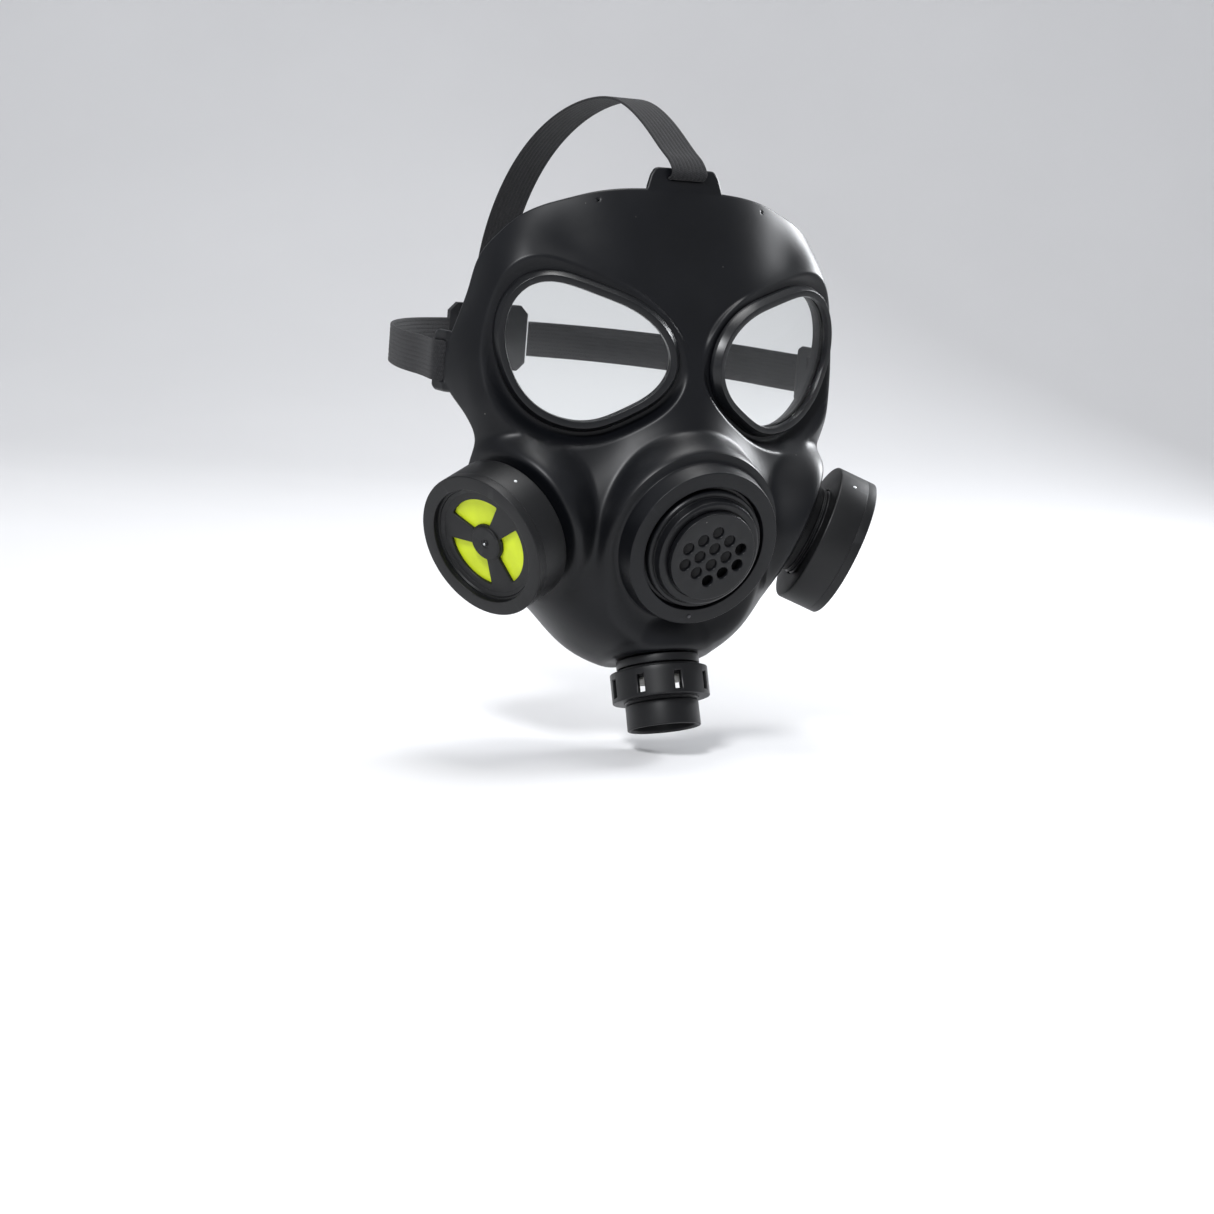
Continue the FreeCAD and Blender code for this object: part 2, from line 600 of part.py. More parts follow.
cuts.append(tool_cylinder(OUT_POS, OUT_AXIS, dim("port_neck") + 0.3, -12.0, 5.0))
# seats faced flat where the chin port and its nut bear on the shell
cuts.append(tool_cylinder(OUT_POS, OUT_AXIS, dim("flange_rad") + 0.3, 0.08, 6.0))
cuts.append(tool_cylinder(OUT_POS, OUT_AXIS, dim("port_nut_rad") + 0.3, -8.0, -3.3))
body_shape = body_shape.cut(cuts)
# the small screw's blind hole below the grille, in the speech boss
SP_DOWN = cross((1.0, 0.0, 0.0), SP_AXIS)
if SP_DOWN[2] > 0:
    SP_DOWN = mul(SP_DOWN, -1.0)
screw_pos = add(SP_POS, mul(SP_DOWN, dim("screw_at")))
body_shape = body_shape.cut(tool_cylinder(screw_pos, SP_AXIS, dim("screw_rad") + 0.05, -dim("screw_long") - 0.1, 3.0))
solids = sorted(body_shape.Solids, key=lambda s: -s.Volume)
print("shell solids", [round(s.Volume) for s in solids], "valid", solids[0].isValid())
feature("face_shell", solids[0])

# ------------------------------------------------------------------ filter canisters and their necks
def build_canister(side, tag):
    o, a = can_frame(side)
    place = axes_place(o, a)
    R, L, wall = q("can_rad"), q("can_len"), q("can_wall")
    # moulded cup with the threaded socket in its rear wall (thread drawn as a plain bore)
    turned("filter_housing_" + tag, [
        (q("socket_in"), -L), (R - 0.8, -L), (R, -L + 0.8), (R, -q("can_cover_deep")), (R - wall, -q("can_cover_deep")), (R - wall, -q("socket_deep")),
        (R - wall - 1.6, -q("socket_deep")), (R - wall - 1.6, -L + q("rear_wall")), (q("socket_out"), -L + q("rear_wall")),
        (q("socket_out"), -q("socket_deep")), (q("socket_in"), -q("socket_deep"))], place)
    # front cover: rim, recessed plate with three windows, skirt that plugs into the cup
    cover = turned("front_cover_" + tag, [
        (0, -q("can_recess") - q("can_plate")), (q("skirt_in"), -q("can_recess") - q("can_plate")), (q("skirt_in"), -q("skirt_end")), (q("skirt_out"), -q("skirt_end")),
        (q("skirt_out"), -q("can_cover_deep") + 0.05), (R, -q("can_cover_deep") + 0.05), (R, -0.8), (R - 0.8, 0), (q("can_face_in") + 0.5, 0), (q("can_face_in"), -0.5),
        (q("can_face_in"), -q("can_recess")), (q("hub_rad"), -q("can_recess")), (q("hub_rad") - 0.6, -q("can_recess") + q("hub_proud")),
        (q("pip_rad"), -q("can_recess") + q("hub_proud")), (q("pip_rad"), -q("can_recess") + q("hub_proud") + q("pip_proud")),
        (0, -q("can_recess") + q("hub_proud") + q("pip_proud"))], place)
    cut_through(cover, "windows_" + tag, lambda sk: [sector(sk, q("tre_in"), q("tre_out"), m, dim("tre_angle")) for m in (103.7, 223.7, 343.7)], -30, 10)
    z = q("can_recess") + q("can_plate") + 0.05
    disc("indicator_disc_" + tag, q("disc_rad"), -z - q("disc_thick"), -z, place)
    z = z + q("disc_thick") + 0.05
    disc("filter_pad_" + tag, q("disc_rad"), -z - q("pad_thick"), -z, place)
    z = z + q("pad_thick") + 0.05
    disc("carbon_bed_" + tag, q("disc_rad"), -z - q("bed_thick"), -z, place)
    screen = disc("rear_screen_" + tag, q("screen_rad"), -q("socket_deep") + 0.05, -q("socket_deep") + 0.05 + q("screen_thick"), place)

    def holes(sk):
        circle_at(sk, 0, 0, q("screen_hole"))
        for ring_r, count in ((5.2, 6), (10.2, 12), (15.2, 18)):
            for k in range(count):
                t = 2 * math.pi * k / count
                circle_at(sk, ring_r * math.cos(t), ring_r * math.sin(t), q("screen_hole"))
    cut_through(screen, "mesh_" + tag, holes, -30, 10)
    # neck moulding on the mask, its nut inside, and the sealing ring in the socket
    turned("inlet_connector_" + tag, [
        (q("neck_in"), -q("neck_end")), (q("neck_out"), -q("neck_end")), (q("neck_out"), -q("pod_plane") + 0.05), (q("neck_flange"), -q("pod_plane") + 0.05),
        (q("neck_flange"), -q("pod_plane") + 0.05 + q("neck_flange_t")), (q("neck_out"), -q("pod_plane") + 0.05 + q("neck_flange_t")),
        (q("neck_out"), -q("neck_top") - 0.6), (q("neck_out") - 0.6, -q("neck_top")), (q("neck_in"), -q("neck_top"))], place)
    ring("connector_nut_" + tag, q("neck_out") + 0.05, q("nut_rad"), -q("pod_under") - 0.05 - q("nut_thick"), -q("pod_under") - 0.05, place)
    ring("port_gasket_" + tag, q("gasket_in"), q("neck_out"), -q("neck_top") + 0.05, -q("neck_top") + 0.05 + q("gasket_thick"), place)
    seat = turned("inlet_valve_seat_" + tag, [
        (0, -q("seat_top") - q("seat_thick") - 4.0), (q("stem_rad") + 1.0, -q("seat_top") - q("seat_thick") - 4.0), (q("stem_rad") + 1.0, -q("seat_top") - q("seat_thick") - 3.2),
        (q("stem_rad"), -q("seat_top") - q("seat_thick") - 3.2), (q("stem_rad"), -q("seat_top") - q("seat_thick")),
        (q("seat_rad"), -q("seat_top") - q("seat_thick")), (q("seat_rad"), -q("seat_top")), (0, -q("seat_top"))], place)
    cut_through(seat, "spider_" + tag, lambda sk: [sector(sk, q("seat_hub"), q("seat_rad") - 3.0, m, 48.0) for m in (30, 90, 150, 210, 270, 330)], -40, 10)
    ring("inlet_valve_" + tag, q("stem_rad") + 0.15, q("valve_rad"), -q("seat_top") - q("seat_thick") - 0.05 - q("valve_thick"), -q("seat_top") - q("seat_thick") - 0.05, place)


for side, tag in ((1, "left"), (-1, "right")):
    build_canister(side, tag)

# ------------------------------------------------------------------ speech unit
sp = axes_place(SP_POS, SP_AXIS)
turned("speech_housing", [
    (q("sp_inner"), -q("sp_back")), (q("sp_out"), -q("sp_back")), (q("sp_out"), -3.0), (q("sp_ring_out"), -3.0), (q("sp_ring_out"), q("sp_ring_up")), (q("sp_ring_in"), q("sp_ring_up")),
    (q("sp_ring_in") - 0.6, q("sp_ring_up") + 0.8), (q("sp_wall"), q("sp_step") - 0.4), (q("sp_wall") - 0.4, q("sp_step")), (q("sp_hole"), q("sp_step")),
    (q("sp_hole"), q("sp_step") - 1.8), (q("sp_inner"), q("sp_step") - 1.8)], sp)
grille = turned("speech_grille", [
    (0, q("plate_top") - q("plate_thick")), (q("sp_hole") - q("plate_skirt") - 0.1, q("plate_top") - q("plate_thick")), (q("sp_hole") - q("plate_skirt") - 0.1, q("sp_step") - 1.9),
    (q("sp_hole") - 0.1, q("sp_step") - 1.9), (q("sp_hole") - 0.1, q("sp_step") + 0.05), (q("plate_rad"), q("sp_step") + 0.05), (q("plate_rad"), q("plate_top") - 0.5),
    (q("plate_rad") - 0.5, q("plate_top")), (0, q("plate_top"))], sp)
GRILLE_XY = [(i * 0.8660254, j) for i, js in ((-2, (-0.5, 0.5)), (-1, (-1, 0, 1)), (0, (-1.5, -0.5, 0.5, 1.5)), (1, (-1, 0, 1)), (2, (-0.5, 0.5))) for j in js]
cut_through(grille, "sound_holes", lambda sk: [circle_at(sk, q("grille_pitch") * x, q("grille_pitch") * y, q("grille_hole")) for x, y in GRILLE_XY], -20, 20)
top = q("sp_step") - 1.85
ring("diaphragm_gasket", q("dgas_in"), q("dia_rad"), top - q("dgas_thick"), top, sp)
top = top - q("dgas_thick") - 0.05
disc("speech_diaphragm", q("dia_rad"), top - q("dia_thick"), top, sp)
top = top - q("dia_thick") - 0.05
ring("speech_clamp_ring", q("clamp_in"), q("sp_inner") - 0.05, -q("clamp_end"), top, sp)
ring("speech_ring_nut", q("sp_out") + 0.05, q("ring_nut_out"), -q("boss_deep") - 0.1 - q("ring_nut_thick"), -q("boss_deep") - 0.1, sp)
turned("boss_screw", [(0, -q("screw_long")), (q("screw_rad"), -q("screw_long")), (q("screw_rad"), 0.35), (q("screw_rad") - 0.35, 0.7), (0, 0.7)], axes_place(screw_pos, SP_AXIS))

# ------------------------------------------------------------------ chin outlet
outp = axes_place(OUT_POS, OUT_AXIS, (1, 0, 0))
turned("outlet_port", [
    (q("throat_bore"), -q("port_up")), (q("port_neck"), -q("port_up")), (q("port_neck"), 0.2), (q("flange_rad"), 0.2), (q("flange_rad"), q("flange_end")),
    (q("throat_rad"), q("flange_end")), (q("throat_rad"), q("collar_top") + q("collar_lip") + 0.15), (q("bead_rad"), q("collar_top") + q("collar_lip") + 0.45),
    (q("throat_rad"), q("port_end")), (q("throat_bore") + 1.6, q("port_end")), (q("throat_bore") + 1.6, q("port_end") - 0.8), (q("throat_bore"), q("port_end") - 0.8)], outp)
ring("outlet_port_nut", q("port_neck") + 0.05, q("port_nut_rad"), -3.35 - q("port_nut_thick"), -3.35, outp)
eseat = turned("exhale_valve_seat", [
    (0, q("port_end") - 3.6), (q("throat_bore") - 0.05, q("port_end") - 3.6), (q("throat_bore") - 0.05, q("port_end") - 1.4), (q("stem_rad"), q("port_end") - 1.4),
    (q("stem_rad"), q("port_end") + 2.6), (q("stem_rad") + 0.9, q("port_end") + 2.6), (q("stem_rad") + 0.9, q("port_end") + 3.4), (0, q("port_end") + 3.4)], outp)
cut_through(eseat, "exhale_spider", lambda sk: [sector(sk, q("seat_hub"), q("throat_bore") - 2.2, m, 46.0) for m in (0, 60, 120, 180, 240, 300)], -20, 20)
ring("exhale_valve", q("stem_rad") + 0.15, q("ex_valve_rad"), q("port_end") + 0.05, q("port_end") + 0.05 + q("ex_valve_thick"), outp)
collar = turned("outlet_collar", [
    (q("collar_in"), q("collar_end")), (q("spig_rad") + 0.05, q("collar_end")), (q("spig_rad") + 0.05, q("collar_end") - q("collar_floor")), (q("collar_in"), q("collar_end") - q("collar_floor")),
    (q("collar_in"), q("collar_top") + q("collar_lip")), (q("collar_lip_rad"), q("collar_top") + q("collar_lip")), (q("collar_lip_rad"), q("collar_top")),
    (q("collar_rad") - 0.6, q("collar_top")), (q("collar_rad"), q("collar_top") + 0.6), (q("collar_rad"), q("collar_end") - 0.6), (q("collar_rad") - 0.6, q("collar_end"))], outp)
# eight air slots through the collar wall
before = collar.Shape.Volume
sk = sketch(collar, "slot_sketch", "XZ_Plane")
half = q("cslot_wide") / 2
outline(sk, [(-half, q("cslot_low")), (half, q("cslot_low")), (half, q("cslot_high")), (-half, q("cslot_high"))])
doc.recompute()
slot = collar.newObject("PartDesign::Pocket", "air_slot")
slot.Profile = sk
slot.Type = "Length"
slot.Length = 40.0
doc.recompute()
if abs(collar.Shape.Volume - before) < 1.0:
    slot.Reversed = True
    doc.recompute()
pattern = collar.newObject("PartDesign::PolarPattern", "air_slots")
pattern.Originals = [slot]
pattern.Axis = (plane_of(collar, "Z_Axis"), [""])
pattern.Angle = 360.0
pattern.Occurrences = 8
collar.Tip = pattern
doc.recompute()
collar.Placement = outp.multiply(Placement(Vector(0, 0, 0), Rotation(Vector(0, 0, 1), dim("cslot_turn"))))
print("collar", round(before), round(collar.Shape.Volume))
turned("outlet_spigot", [
    (q("spig_bore"), q("collar_end") - q("collar_floor") - 0.05 - q("spig_flange_t")), (q("spig_flange"), q("collar_end") - q("collar_floor") - 0.05 - q("spig_flange_t")),
    (q("spig_flange"), q("collar_end") - q("collar_floor") - 0.05), (q("spig_rad") - 0.2, q("collar_end") - q("collar_floor") - 0.05),
    (q("spig_rad") - 0.2, 19.0), (q("spig_rad"), 19.0), (q("spig_rad"), q("spig_end") - 0.8),
    (q("spig_rad") - 0.8, q("spig_end")), (q("spig_bore"), q("spig_end"))], outp)


# ------------------------------------------------------------------ lenses
def lens_parts(side, tag):
    def band(over_out, over_in, low, high):
        s = loop_prism(side, over_out, low, high)
        return s.cut(loop_prism(side, over_in, low - 1, high + 1)) if over_in is not None else s
    face, lt = dim("lens_face"), dim("lens_thick")
    bezel = band(dim("bezel_wide"), 0.0, -face, -0.0)
    bezel = bezel.fuse(band(dim("bezel_wide"), dim("lens_over") + 0.1, -dim("bezel_deep") + 0.55, -face))
    bezel = bezel.fuse(band(dim("sleeve_over"), dim("lens_over") + 0.1, -dim("sleeve_deep"), -dim("bezel_deep") + 0.55))
    feature("lens_frame_" + tag, bezel.removeSplitter())
    feature("lens_" + tag, loop_prism(side, dim("lens_over"), -face - 0.05 - lt, -face - 0.05))
    z = -face - 0.1 - lt
    feature("lens_seal_" + tag, band(dim("lens_over"), 0.2, z - dim("seal_thick"), z))
    z -= dim("seal_thick") + 0.05
    feature("lens_keeper_" + tag, band(dim("lens_over"), 0.3, z - dim("keeper_thick"), z))
    feature("lens_clamp_" + tag, band(dim("clamp_over"), dim("sleeve_over") + 0.05, -dim("sleeve_deep") + 0.2, -dim("sleeve_deep") + 0.2 + dim("clamp_thick")))


for side, tag in ((1, "left"), (-1, "right")):
    lens_parts(side, tag)


# ------------------------------------------------------------------ head harness, elastic webbing
def ribbon(points, thick, low, high, to_space):
    """Strip of webbing: a plane path given thickness, then width. to_space maps (a, b, across) to the frame."""
    crv = Part.BSplineCurve()
    crv.interpolate([Vector(p[0], p[1], 0) for p in points])
    e = crv.toShape()
    n = 60
    line = e.discretize(Number=n)
    sides = ([], [])
    for k in range(n):
        t = (line[min(k + 1, n - 1)] - line[max(k - 1, 0)]).normalize()
        m = Vector(-t.y, t.x, 0)
        sides[0].append(line[k] + m * (thick / 2))
        sides[1].append(line[k] - m * (thick / 2))
    edges = []
    for s in sides:
        c = Part.BSplineCurve()
        c.interpolate([Vector(*to_space(p.x, p.y, low)) for p in s])
        edges.append(c)
    ends = [Part.LineSegment(edges[0].getPole(1), edges[1].getPole(1)), Part.LineSegment(edges[0].getPole(edges[0].NbPoles), edges[1].getPole(edges[1].NbPoles))]
    wire = Part.Wire(Part.__sortEdges__([edges[0].toShape(), ends[1].toShape(), edges[1].toShape(), ends[0].toShape()]))
    d = Vector(*to_space(0, 0, high)) - Vector(*to_space(0, 0, low))
    return Part.Face(wire).extrude(d)


half = dim("web_wide") / 2
TOP_PATH = [(13.0, 78.6), (9.0, 78.75), (6.3, 80.6), (8.2, 84.4), (15.0, 88.9), (30.5, 98.0), (46, 105.8), (62, 110.6), (80, 111.2), (101, 108), (130, 98), (157, 81), (179, 56), (189.8, 30), (191.6, 12.0)]
SIDE_PATH = [(87.4, 38.0), (90.8, 40.6), (94.1, 43.4), (94.2, 49.0), (93.0, 54.5), (91.0, 66), (89.5, 84), (85.0, 108), (76, 134), (62, 159), (44, 178), (21.6, 190.0)]
feature("top_strap", ribbon(TOP_PATH, dim("web_thick"), -half, half, lambda a, b, c: (c, a, b)))
zc = dim("side_slot_z")
feature("side_strap_left", ribbon(SIDE_PATH, dim("web_thick"), zc - half, zc + half, lambda a, b, c: (a, b, c)))
feature("side_strap_right", ribbon(SIDE_PATH, dim("web_thick"), zc - half, zc + half, lambda a, b, c: (-a, b, c)))
pad_body = doc.addObject("PartDesign::Body", "harness_pad")
sk = sketch(pad_body, "pad_outline", "XZ_Plane")
w, t = q("pad_wide") / 2, q("pad_tall") / 2
k = 4.0
outline(sk, [(-w + k, -t), (w - k, -t), (w, -t + k), (w, t - k), (w - k, t), (-w + k, t), (-w, t - k), (-w, -t + k)])
doc.recompute()
pad = pad_body.newObject("PartDesign::Pad", "pad_thickness")
pad.Profile = sk
pad.Length = dim("pad_deep")
pad.setExpression("Length", "Dims.pad_deep")
pad.Midplane = True
doc.recompute()
pad_body.Placement = Placement(Vector(0, dim("pad_y"), zc), Rotation())
node(pad_body, "harness_pad")

# ------------------------------------------------------------------ checks, then one file for each sub-part
doc.recompute()
bad = []
for obj in doc.Objects:
    state = [s for s in obj.State if s in ("Invalid", "Error")]
    if state:
        bad.append((obj.Name, state))
for obj in NODES:
    if obj.Shape.isNull() or not obj.Shape.isValid() or not obj.Shape.Solids:
        bad.append((obj.Label, "shape"))
if bad:
    raise RuntimeError("failed: %s" % bad)
os.makedirs("parts", exist_ok=True)
for old in os.listdir("parts"):
    if old.endswith(".step") and old[:-5] not in [o.Label for o in NODES]:
        os.remove(os.path.join("parts", old))
for obj in NODES:
    obj.Shape.exportStep("parts/%s.step" % obj.Label)
print(len(NODES), "sub-parts", {o.Label: round(o.Shape.Volume) for o in NODES})
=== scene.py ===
import bpy, bmesh, json, math
import numpy as np
from mathutils import Vector, Matrix
from mathutils.geometry import delaunay_2d_cdt

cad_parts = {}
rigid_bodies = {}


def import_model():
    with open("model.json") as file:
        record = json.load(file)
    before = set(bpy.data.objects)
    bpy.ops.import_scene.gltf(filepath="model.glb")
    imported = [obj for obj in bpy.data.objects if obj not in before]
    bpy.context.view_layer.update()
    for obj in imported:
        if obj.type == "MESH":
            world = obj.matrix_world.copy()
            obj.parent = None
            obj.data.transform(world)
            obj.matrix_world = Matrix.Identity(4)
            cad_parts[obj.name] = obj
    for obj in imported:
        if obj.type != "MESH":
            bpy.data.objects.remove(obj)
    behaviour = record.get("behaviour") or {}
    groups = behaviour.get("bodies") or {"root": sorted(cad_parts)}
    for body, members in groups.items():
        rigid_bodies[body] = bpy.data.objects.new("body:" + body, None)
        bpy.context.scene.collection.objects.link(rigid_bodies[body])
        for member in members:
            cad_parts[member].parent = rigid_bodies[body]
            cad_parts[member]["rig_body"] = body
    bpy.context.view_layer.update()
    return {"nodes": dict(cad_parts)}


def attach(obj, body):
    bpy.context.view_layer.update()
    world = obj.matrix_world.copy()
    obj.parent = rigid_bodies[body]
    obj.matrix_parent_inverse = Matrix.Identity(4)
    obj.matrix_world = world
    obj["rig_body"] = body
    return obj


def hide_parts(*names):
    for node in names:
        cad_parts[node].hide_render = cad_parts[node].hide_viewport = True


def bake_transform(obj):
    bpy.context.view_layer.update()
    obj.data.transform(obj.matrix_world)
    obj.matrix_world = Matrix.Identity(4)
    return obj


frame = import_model()
MM = 0.001

# ------------------------------------------------------------------ sizes shared with the CAD model, millimetres
CAN_C, CAN_AZ, CAN_EL = (89.64, -3.41, -77.03), 66.5, -21.05
SP_C, SP_TILT = (0.0, -32.93, -72.96), 14.7
OUT_C, OUT_TILT = (0.0, -1.4, -126.1), 22.0
LENS_C, LENS_AZ, LENS_EL = (53.26, 0.0, 0.0), 20.18, -0.95
LENS_RADII = [25.4, 31.4, 35.4, 31.2, 30.9, 37.6, 42.0, 32.3, 26.7, 23.5, 22.3, 22.7]
CENTRE = np.array([0.0, 50.0, -25.0])
THICK = 2.3
FORM = [
    (0, 8.3, 74), (0, 1.5, 50), (0, -5.5, 30), (0, -11.7, 8.5), (0, -15, -8), (0, -20, -24), (0, -27, -42),
    (0, -31, -60), (0, -30, -80), (0, -27, -96), (0, -20, -113), (0, -6, -126), (0, 10, -134), (0, 17, -135),
    (40, 11.8, 70), (30, -3.0, 33), (55, 8.8, 47), (60, 17, 61), (69, 14, 50), (77, 25, 51), (72, 9, 40), (62, 1, 34),
    (82, 21, 38), (86, 32, 27), (87, 22, 18),
    (20, -9, 8), (30, -9, 0), (45, -4, 8), (60, 1, 8), (76, 7, 8), (88.5, 20, 0), (91.5, 32, 0), (92.3, 40, -5), (91.5, 36, 6), (91.8, 38, -15),
    (89, 26, -18), (85, 14, -22),
    (13, -14, -12), (20, -14, -24), (32, -9, -28), (46, -5, -30), (60, 0, -32), (73, 6, -34), (82, 16, -36),
    (22, -22, -42), (36, -16, -48), (50, -9, -50), (66, -2, -48), (79, 11, -50), (81.5, 26, -50),
    (36, -20, -66), (50, -14, -68), (62, -4, -68), (74, 8, -69), (80, 20, -70), (79, 33, -70),
    (34, -20, -84), (48, -11, -86), (58, 0, -88), (65, 12, -92), (67, 26, -94), (65, 36, -95),
    (14, -24, -104), (28, -20, -105), (40, -9, -106), (48, 6, -108), (49, 20, -110), (47, 33, -110),
    (14, -12, -121), (26, -6, -121), (33, 6, -123), (35, 22, -124), (20, 6, -130), (20, 17, -132), (8, 8, -133.5), (10, 17, -134.5)]
TOP_EDGE = [(0, 8.3, 74), (18, 8.3, 74), (40, 11.7, 71.2), (57.5, 18.8, 62.5)]
SIDE_EDGE = [(57.5, 18.8, 62.5), (68.5, 23.2, 55.5), (76.3, 27, 47.5), (82, 32.5, 38), (85.5, 33.5, 27), (88.5, 34, 18), (90.5, 35.5, 9.5), (91.8, 38, 2.5),
             (92, 39, -5), (91.4, 37.5, -13), (89.7, 32, -19.5), (87, 24.5, -26), (84.5, 21, -33), (82.5, 24, -42), (81, 29, -53),
             (78, 34, -70), (65, 36, -95), (47, 33, -110), (35, 26, -123.5)]
LOW_EDGE = [(0, 17, -135), (15, 18, -133), (26, 20, -129), (35, 26, -123.5)]
EAR_X, EAR_END, EAR_Z, EAR_TALL, EAR_SLOT_Y, EAR_SLOT_GAP, EAR_SLOT_TALL = 92.2, 50.5, -4.8, 24.0, 40.6, 3.6, 18.6


def axis_of(az, el, side=1):
    a, e = math.radians(az), math.radians(el)
    return np.array([side * math.sin(a) * math.cos(e), -math.cos(a) * math.cos(e), math.sin(e)])


def frame_at(origin, z, x=None):
    z = np.array(z, float); z /= np.linalg.norm(z)
    x = np.cross([0, 0, 1.0], z) if x is None else np.array(x, float)
    x = x - z * x.dot(z); x /= np.linalg.norm(x)
    return np.array(origin, float), x, np.cross(z, x), z


def can_frame(side):
    return frame_at((side * CAN_C[0], CAN_C[1], CAN_C[2]), axis_of(CAN_AZ, CAN_EL, side))


t = math.radians(SP_TILT)
SP = frame_at(SP_C, (0, -math.cos(t), -math.sin(t)))
t = math.radians(OUT_TILT)
OUT = frame_at(OUT_C, (0, -math.sin(t), -math.cos(t)), (1, 0, 0))


def lens_frame(side):
    """Origin, outward x, up y, normal: x always points away from the nose."""
    n = axis_of(LENS_AZ, LENS_EL, side)
    x = np.cross([0, 0, 1.0], n); x /= np.linalg.norm(x)
    if side < 0: x = -x
    y = np.cross(n, x) if side > 0 else np.cross(x, n)
    return np.array((side * LENS_C[0], 0.0, 0.0)), x, y, n


# ------------------------------------------------------------------ mesh helpers
def make(name, verts, faces, mat=None, body="mask", angle=35.0, weld=False):
    """Mesh object from millimetre points. Edges sharper than angle stay crisp."""
    me = bpy.data.meshes.new(name)
    me.from_pydata([tuple(v) for v in np.asarray(verts, float) * MM], [], [tuple(int(i) for i in f) for f in faces])
    me.validate()
    bm = bmesh.new(); bm.from_mesh(me)
    if weld: bmesh.ops.remove_doubles(bm, verts=bm.verts, dist=2e-6)
    bmesh.ops.recalc_face_normals(bm, faces=bm.faces)
    lim = math.radians(angle)
    for f in bm.faces: f.smooth = True
    for e in bm.edges:
        if len(e.link_faces) == 2:
            try: e.smooth = e.calc_face_angle() < lim
            except ValueError: pass
    bm.to_mesh(me); bm.free()
    ob = bpy.data.objects.new(name, me)
    bpy.context.scene.collection.objects.link(ob)
    if mat: me.materials.append(mat)
    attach(ob, body)
    return ob


def place(fr, pts):
    o, x, y, z = fr
    p = np.asarray(pts, float)
    return o + p[:, :1] * x + p[:, 1:2] * y + p[:, 2:3] * z


def fillet(poly, radius, closed=True, n=5):
    """Round the corners of a run of (a, b[, own radius]) points."""
    out = []
    m = len(poly)
    for i in range(m):
        p = np.array(poly[i][:2], float)
        r = poly[i][2] if len(poly[i]) > 2 else radius
        if (not closed and i in (0, m - 1)) or r <= 0:
            out.append(p); continue
        a = np.array(poly[i - 1][:2], float); b = np.array(poly[(i + 1) % m][:2], float)
        u = a - p; v = b - p
        lu, lv = np.linalg.norm(u), np.linalg.norm(v)
        if lu < 1e-6 or lv < 1e-6: continue
        u /= lu; v /= lv
        c = np.clip(u.dot(v), -1, 1); ang = math.acos(c)
        if ang > math.pi - 0.03: out.append(p); continue
        t_ = min(r / math.tan(ang / 2), 0.48 * lu, 0.48 * lv); rr = t_ * math.tan(ang / 2)
        bis = (u + v); bis /= np.linalg.norm(bis)
        cen = p + bis * rr / math.sin(ang / 2)
        s, e = p + u * t_, p + v * t_
        a0 = math.atan2(*(s - cen)[::-1]); a1 = math.atan2(*(e - cen)[::-1])
        d = (a1 - a0 + math.pi) % (2 * math.pi) - math.pi
        for k in range(n + 1):
            q = a0 + d * k / n
            out.append(cen + rr * np.array([math.cos(q), math.sin(q)]))
    return np.array(out)


def lathe(name, prof, fr, mat, body, seg=144, r=0.35, closed=True, n=5, angle=35.0):
    """Turned part: prof is (radius, height) corners, rounded by r unless a corner gives its own."""
    p = fillet(prof, r, closed, n)
    th = np.linspace(0, 2 * math.pi, seg, endpoint=False)
    verts, faces, idx = [], [], []
    for (rad, z) in p:
        if rad < 1e-4:
            idx.append([len(verts)] * seg); verts.append((0, 0, z))
        else:
            idx.append(list(range(len(verts), len(verts) + seg)))
            verts += [(rad * math.cos(a), rad * math.sin(a), z) for a in th]
    m = len(p)
    for i in range(m if closed else m - 1):
        A, B = idx[i], idx[(i + 1) % m]
        for k in range(seg):
            l = (k + 1) % seg
            f = [A[k], A[l], B[l], B[k]]
            f = [v for j, v in enumerate(f) if v not in f[:j]]
            if len(f) > 2: faces.append(f)
    return make(name, place(fr, verts), faces, mat, body, angle)


def ring_pts(r, n, z=0.0, phase=0.0):
    return [(r * math.cos(phase + 2 * math.pi * k / n), r * math.sin(phase + 2 * math.pi * k / n), z) for k in range(n)]


def offset_loop(loop, d):
    """Closed 2D loop moved to its own inside by d."""
    L = np.asarray(loop, float)
    t_ = np.roll(L, -1, 0) - np.roll(L, 1, 0)
    t_ /= np.maximum(np.linalg.norm(t_, axis=1), 1e-9)[:, None]
    area = 0.5 * np.sum(L[:, 0] * np.roll(L[:, 1], -1) - np.roll(L[:, 0], -1) * L[:, 1])
    nrm = np.c_[-t_[:, 1], t_[:, 0]] * (1 if area > 0 else -1)
    return L + nrm * d


